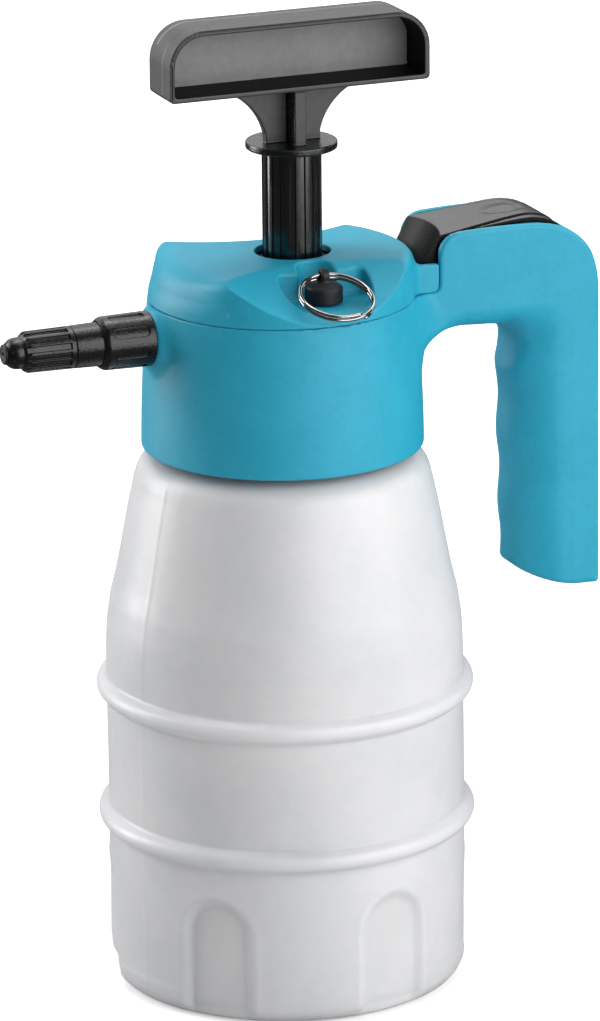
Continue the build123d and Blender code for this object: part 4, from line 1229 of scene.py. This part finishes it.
def floor_material():
    """Pale and glowing to the camera, plain grey to indirect light, dark in reflections, and
    clear to a camera that looks from behind it."""
    mat, tree, pale = new_material("pale_floor", (0.8, 0.8, 0.8), rough=0.6, spec=0.2)
    link = tree.links.new
    coords = object_coords(tree)
    cloud = noise(tree, coords, scale=3.0, detail=3, rough=0.5)
    link(ramp(tree, cloud, (0.3, (0.78, 0.78, 0.785)), (0.7, (0.82, 0.82, 0.82))),
         pale.inputs["Base Color"])
    path = tree.nodes.new("ShaderNodeLightPath")
    plain = tree.nodes.new("ShaderNodeBsdfDiffuse")
    glow = add_node(tree, "ShaderNodeEmission", Strength=0.34)
    split = tree.nodes.new("ShaderNodeSeparateXYZ")
    link(coords, split.inputs[0])
    # the glow grows toward the back of the sweep
    link(remap(tree, split.outputs["Y"], (0.25, 1.5), (0.42, 1.1)), glow.inputs["Strength"])
    raised = remap(tree, split.outputs["Z"], (0.45, 0.95), (0.0, 1.0))
    shade = tree.nodes.new("ShaderNodeMix")
    shade.data_type = "RGBA"
    link(path.outputs["Is Glossy Ray"], shade.inputs["Factor"])
    shade.inputs[6].default_value = (0.56, 0.56, 0.56, 1)
    shade.inputs[7].default_value = (0.13, 0.13, 0.13, 1)
    link(shade.outputs[2], plain.inputs["Color"])
    lit = tree.nodes.new("ShaderNodeAddShader")
    pick = tree.nodes.new("ShaderNodeMixShader")
    link(pale.outputs[0], lit.inputs[0])
    link(glow.outputs[0], lit.inputs[1])
    reflected = calc(tree, path.outputs["Is Glossy Ray"], raised)
    link(calc(tree, path.outputs["Is Camera Ray"], reflected, "MAXIMUM"), pick.inputs[0])
    link(plain.outputs[0], pick.inputs[1])
    link(lit.outputs[0], pick.inputs[2])
    geometry = tree.nodes.new("ShaderNodeNewGeometry")
    clear = tree.nodes.new("ShaderNodeBsdfTransparent")
    last = tree.nodes.new("ShaderNodeMixShader")
    link(calc(tree, path.outputs["Is Camera Ray"], geometry.outputs["Backfacing"]),
         last.inputs[0])
    link(pick.outputs[0], last.inputs[1])
    link(clear.outputs[0], last.inputs[2])
    link(last.outputs[0], tree.nodes["Material Output"].inputs["Surface"])
    return mat


def add_floor():
    """A floor that sweeps up behind the product, in metres."""
    half_width, bend_y, bend_r = 6.0, 1.4, 0.9
    mat = floor_material()
    # (y, z)
    curve = [(-3.0, 0.0), (bend_y, 0.0)]
    curve += [(bend_y + bend_r * math.sin(a), bend_r - bend_r * math.cos(a))
              for a in np.linspace(0.15, math.pi / 2, 14)]
    curve.append((2.3, 4.5))
    points = [(x, y, z) for y, z in curve for x in (-half_width, half_width)]
    faces = [(2 * i, 2 * i + 1, 2 * i + 3, 2 * i + 2) for i in range(len(curve) - 1)]
    mesh = bpy.data.meshes.new("studio_floor")
    mesh.from_pydata(points, [], faces)
    for polygon in mesh.polygons:
        polygon.use_smooth = True
    ob = bpy.data.objects.new("studio_floor", mesh)
    bpy.context.scene.collection.objects.link(ob)
    mesh.materials.append(mat)
    ob.rotation_euler = (0, 0, math.radians(-21.7))
    ob.location = (0, 0, -0.0004)


add_floor()

world = bpy.data.worlds.new("studio")
bpy.context.scene.world = world
world.use_nodes = True
background = world.node_tree.nodes["Background"]
background.inputs["Color"].default_value = (0.95, 0.97, 1.0, 1)
world_path = world.node_tree.nodes.new("ShaderNodeLightPath")
# dim as a light, bright to the camera
world_strength = remap(world.node_tree, world_path.outputs["Is Camera Ray"], (0, 1), (0.09, 0.97))
world.node_tree.links.new(world_strength, background.inputs["Strength"])

HEADING = math.radians(-21.735)       # the camera's heading, turned from +y about z
heading_right = Vector((math.cos(HEADING), math.sin(HEADING), 0))
heading_forward = Vector((-math.sin(HEADING), math.cos(HEADING), 0))


def lamp(name, right, back, up, target, width, height, power):
    """A softbox placed by the camera's heading: right of the tank, back toward the camera
    and above the floor, in metres and watts."""
    light = bpy.data.lights.new(name, "AREA")
    light.shape = "RECTANGLE"
    light.size, light.size_y = width, height
    light.energy = power
    ob = bpy.data.objects.new(name, light)
    bpy.context.scene.collection.objects.link(ob)
    place = heading_right * right - heading_forward * back + Vector((0, 0, up))
    ob.location = place
    ob.rotation_mode = "QUATERNION"
    ob.rotation_quaternion = (Vector(target) - place).to_track_quat("-Z", "Y")
    ob.visible_camera = False


def softbox(name, degrees, distance, up, width, height, radiance):
    """A lamp aimed at the tank, set round it by an angle from the camera toward the right."""
    a = math.radians(degrees)
    lamp(name, math.sin(a) * distance, math.cos(a) * distance, up, (0, 0, 0.14), width, height,
         radiance * math.pi * width * height)


softbox("key_right", degrees=50, distance=0.90, up=0.36, width=1.2, height=1.1, radiance=3.2)
softbox("rim_left", degrees=-107, distance=0.90, up=0.30, width=0.40, height=1.1, radiance=7.4)
softbox("top", degrees=180, distance=0.25, up=1.15, width=0.9, height=0.7, radiance=2.2)
lamp("backdrop_wash", right=0.0, back=-0.6, up=1.7, target=(0, 1.6, 0.2), width=1.6, height=0.8,
     power=14)


def add_camera():
    elevation, roll = math.radians(16.89), math.radians(-0.527)
    distance, shift = 2.01144, 0.004846
    focus_z = 0.1405
    data = bpy.data.cameras.new("camera")
    ob = bpy.data.objects.new("camera", data)
    bpy.context.scene.collection.objects.link(ob)
    toward = Vector((math.sin(HEADING) * math.cos(elevation),
                     -math.cos(HEADING) * math.cos(elevation), math.sin(elevation)))
    right = (-toward).cross(Vector((0, 0, 1))).normalized()
    up = right.cross(-toward).normalized()
    rolled_right = right * math.cos(roll) + up * math.sin(roll)
    rolled_up = -right * math.sin(roll) + up * math.cos(roll)
    matrix = Matrix((rolled_right, rolled_up, toward)).transposed().to_4x4()
    matrix.translation = Vector((0, 0, focus_z)) + right * shift + toward * distance
    ob.matrix_world = matrix
    data.sensor_width = 36.0
    data.sensor_fit = "AUTO"
    data.lens = 243.0465426
    data.clip_start, data.clip_end = 0.05, 30
    bpy.context.scene.camera = ob


add_camera()
view = bpy.context.scene.view_settings
view.view_transform = "Standard"
view.look = "None"
view.exposure = 0.0
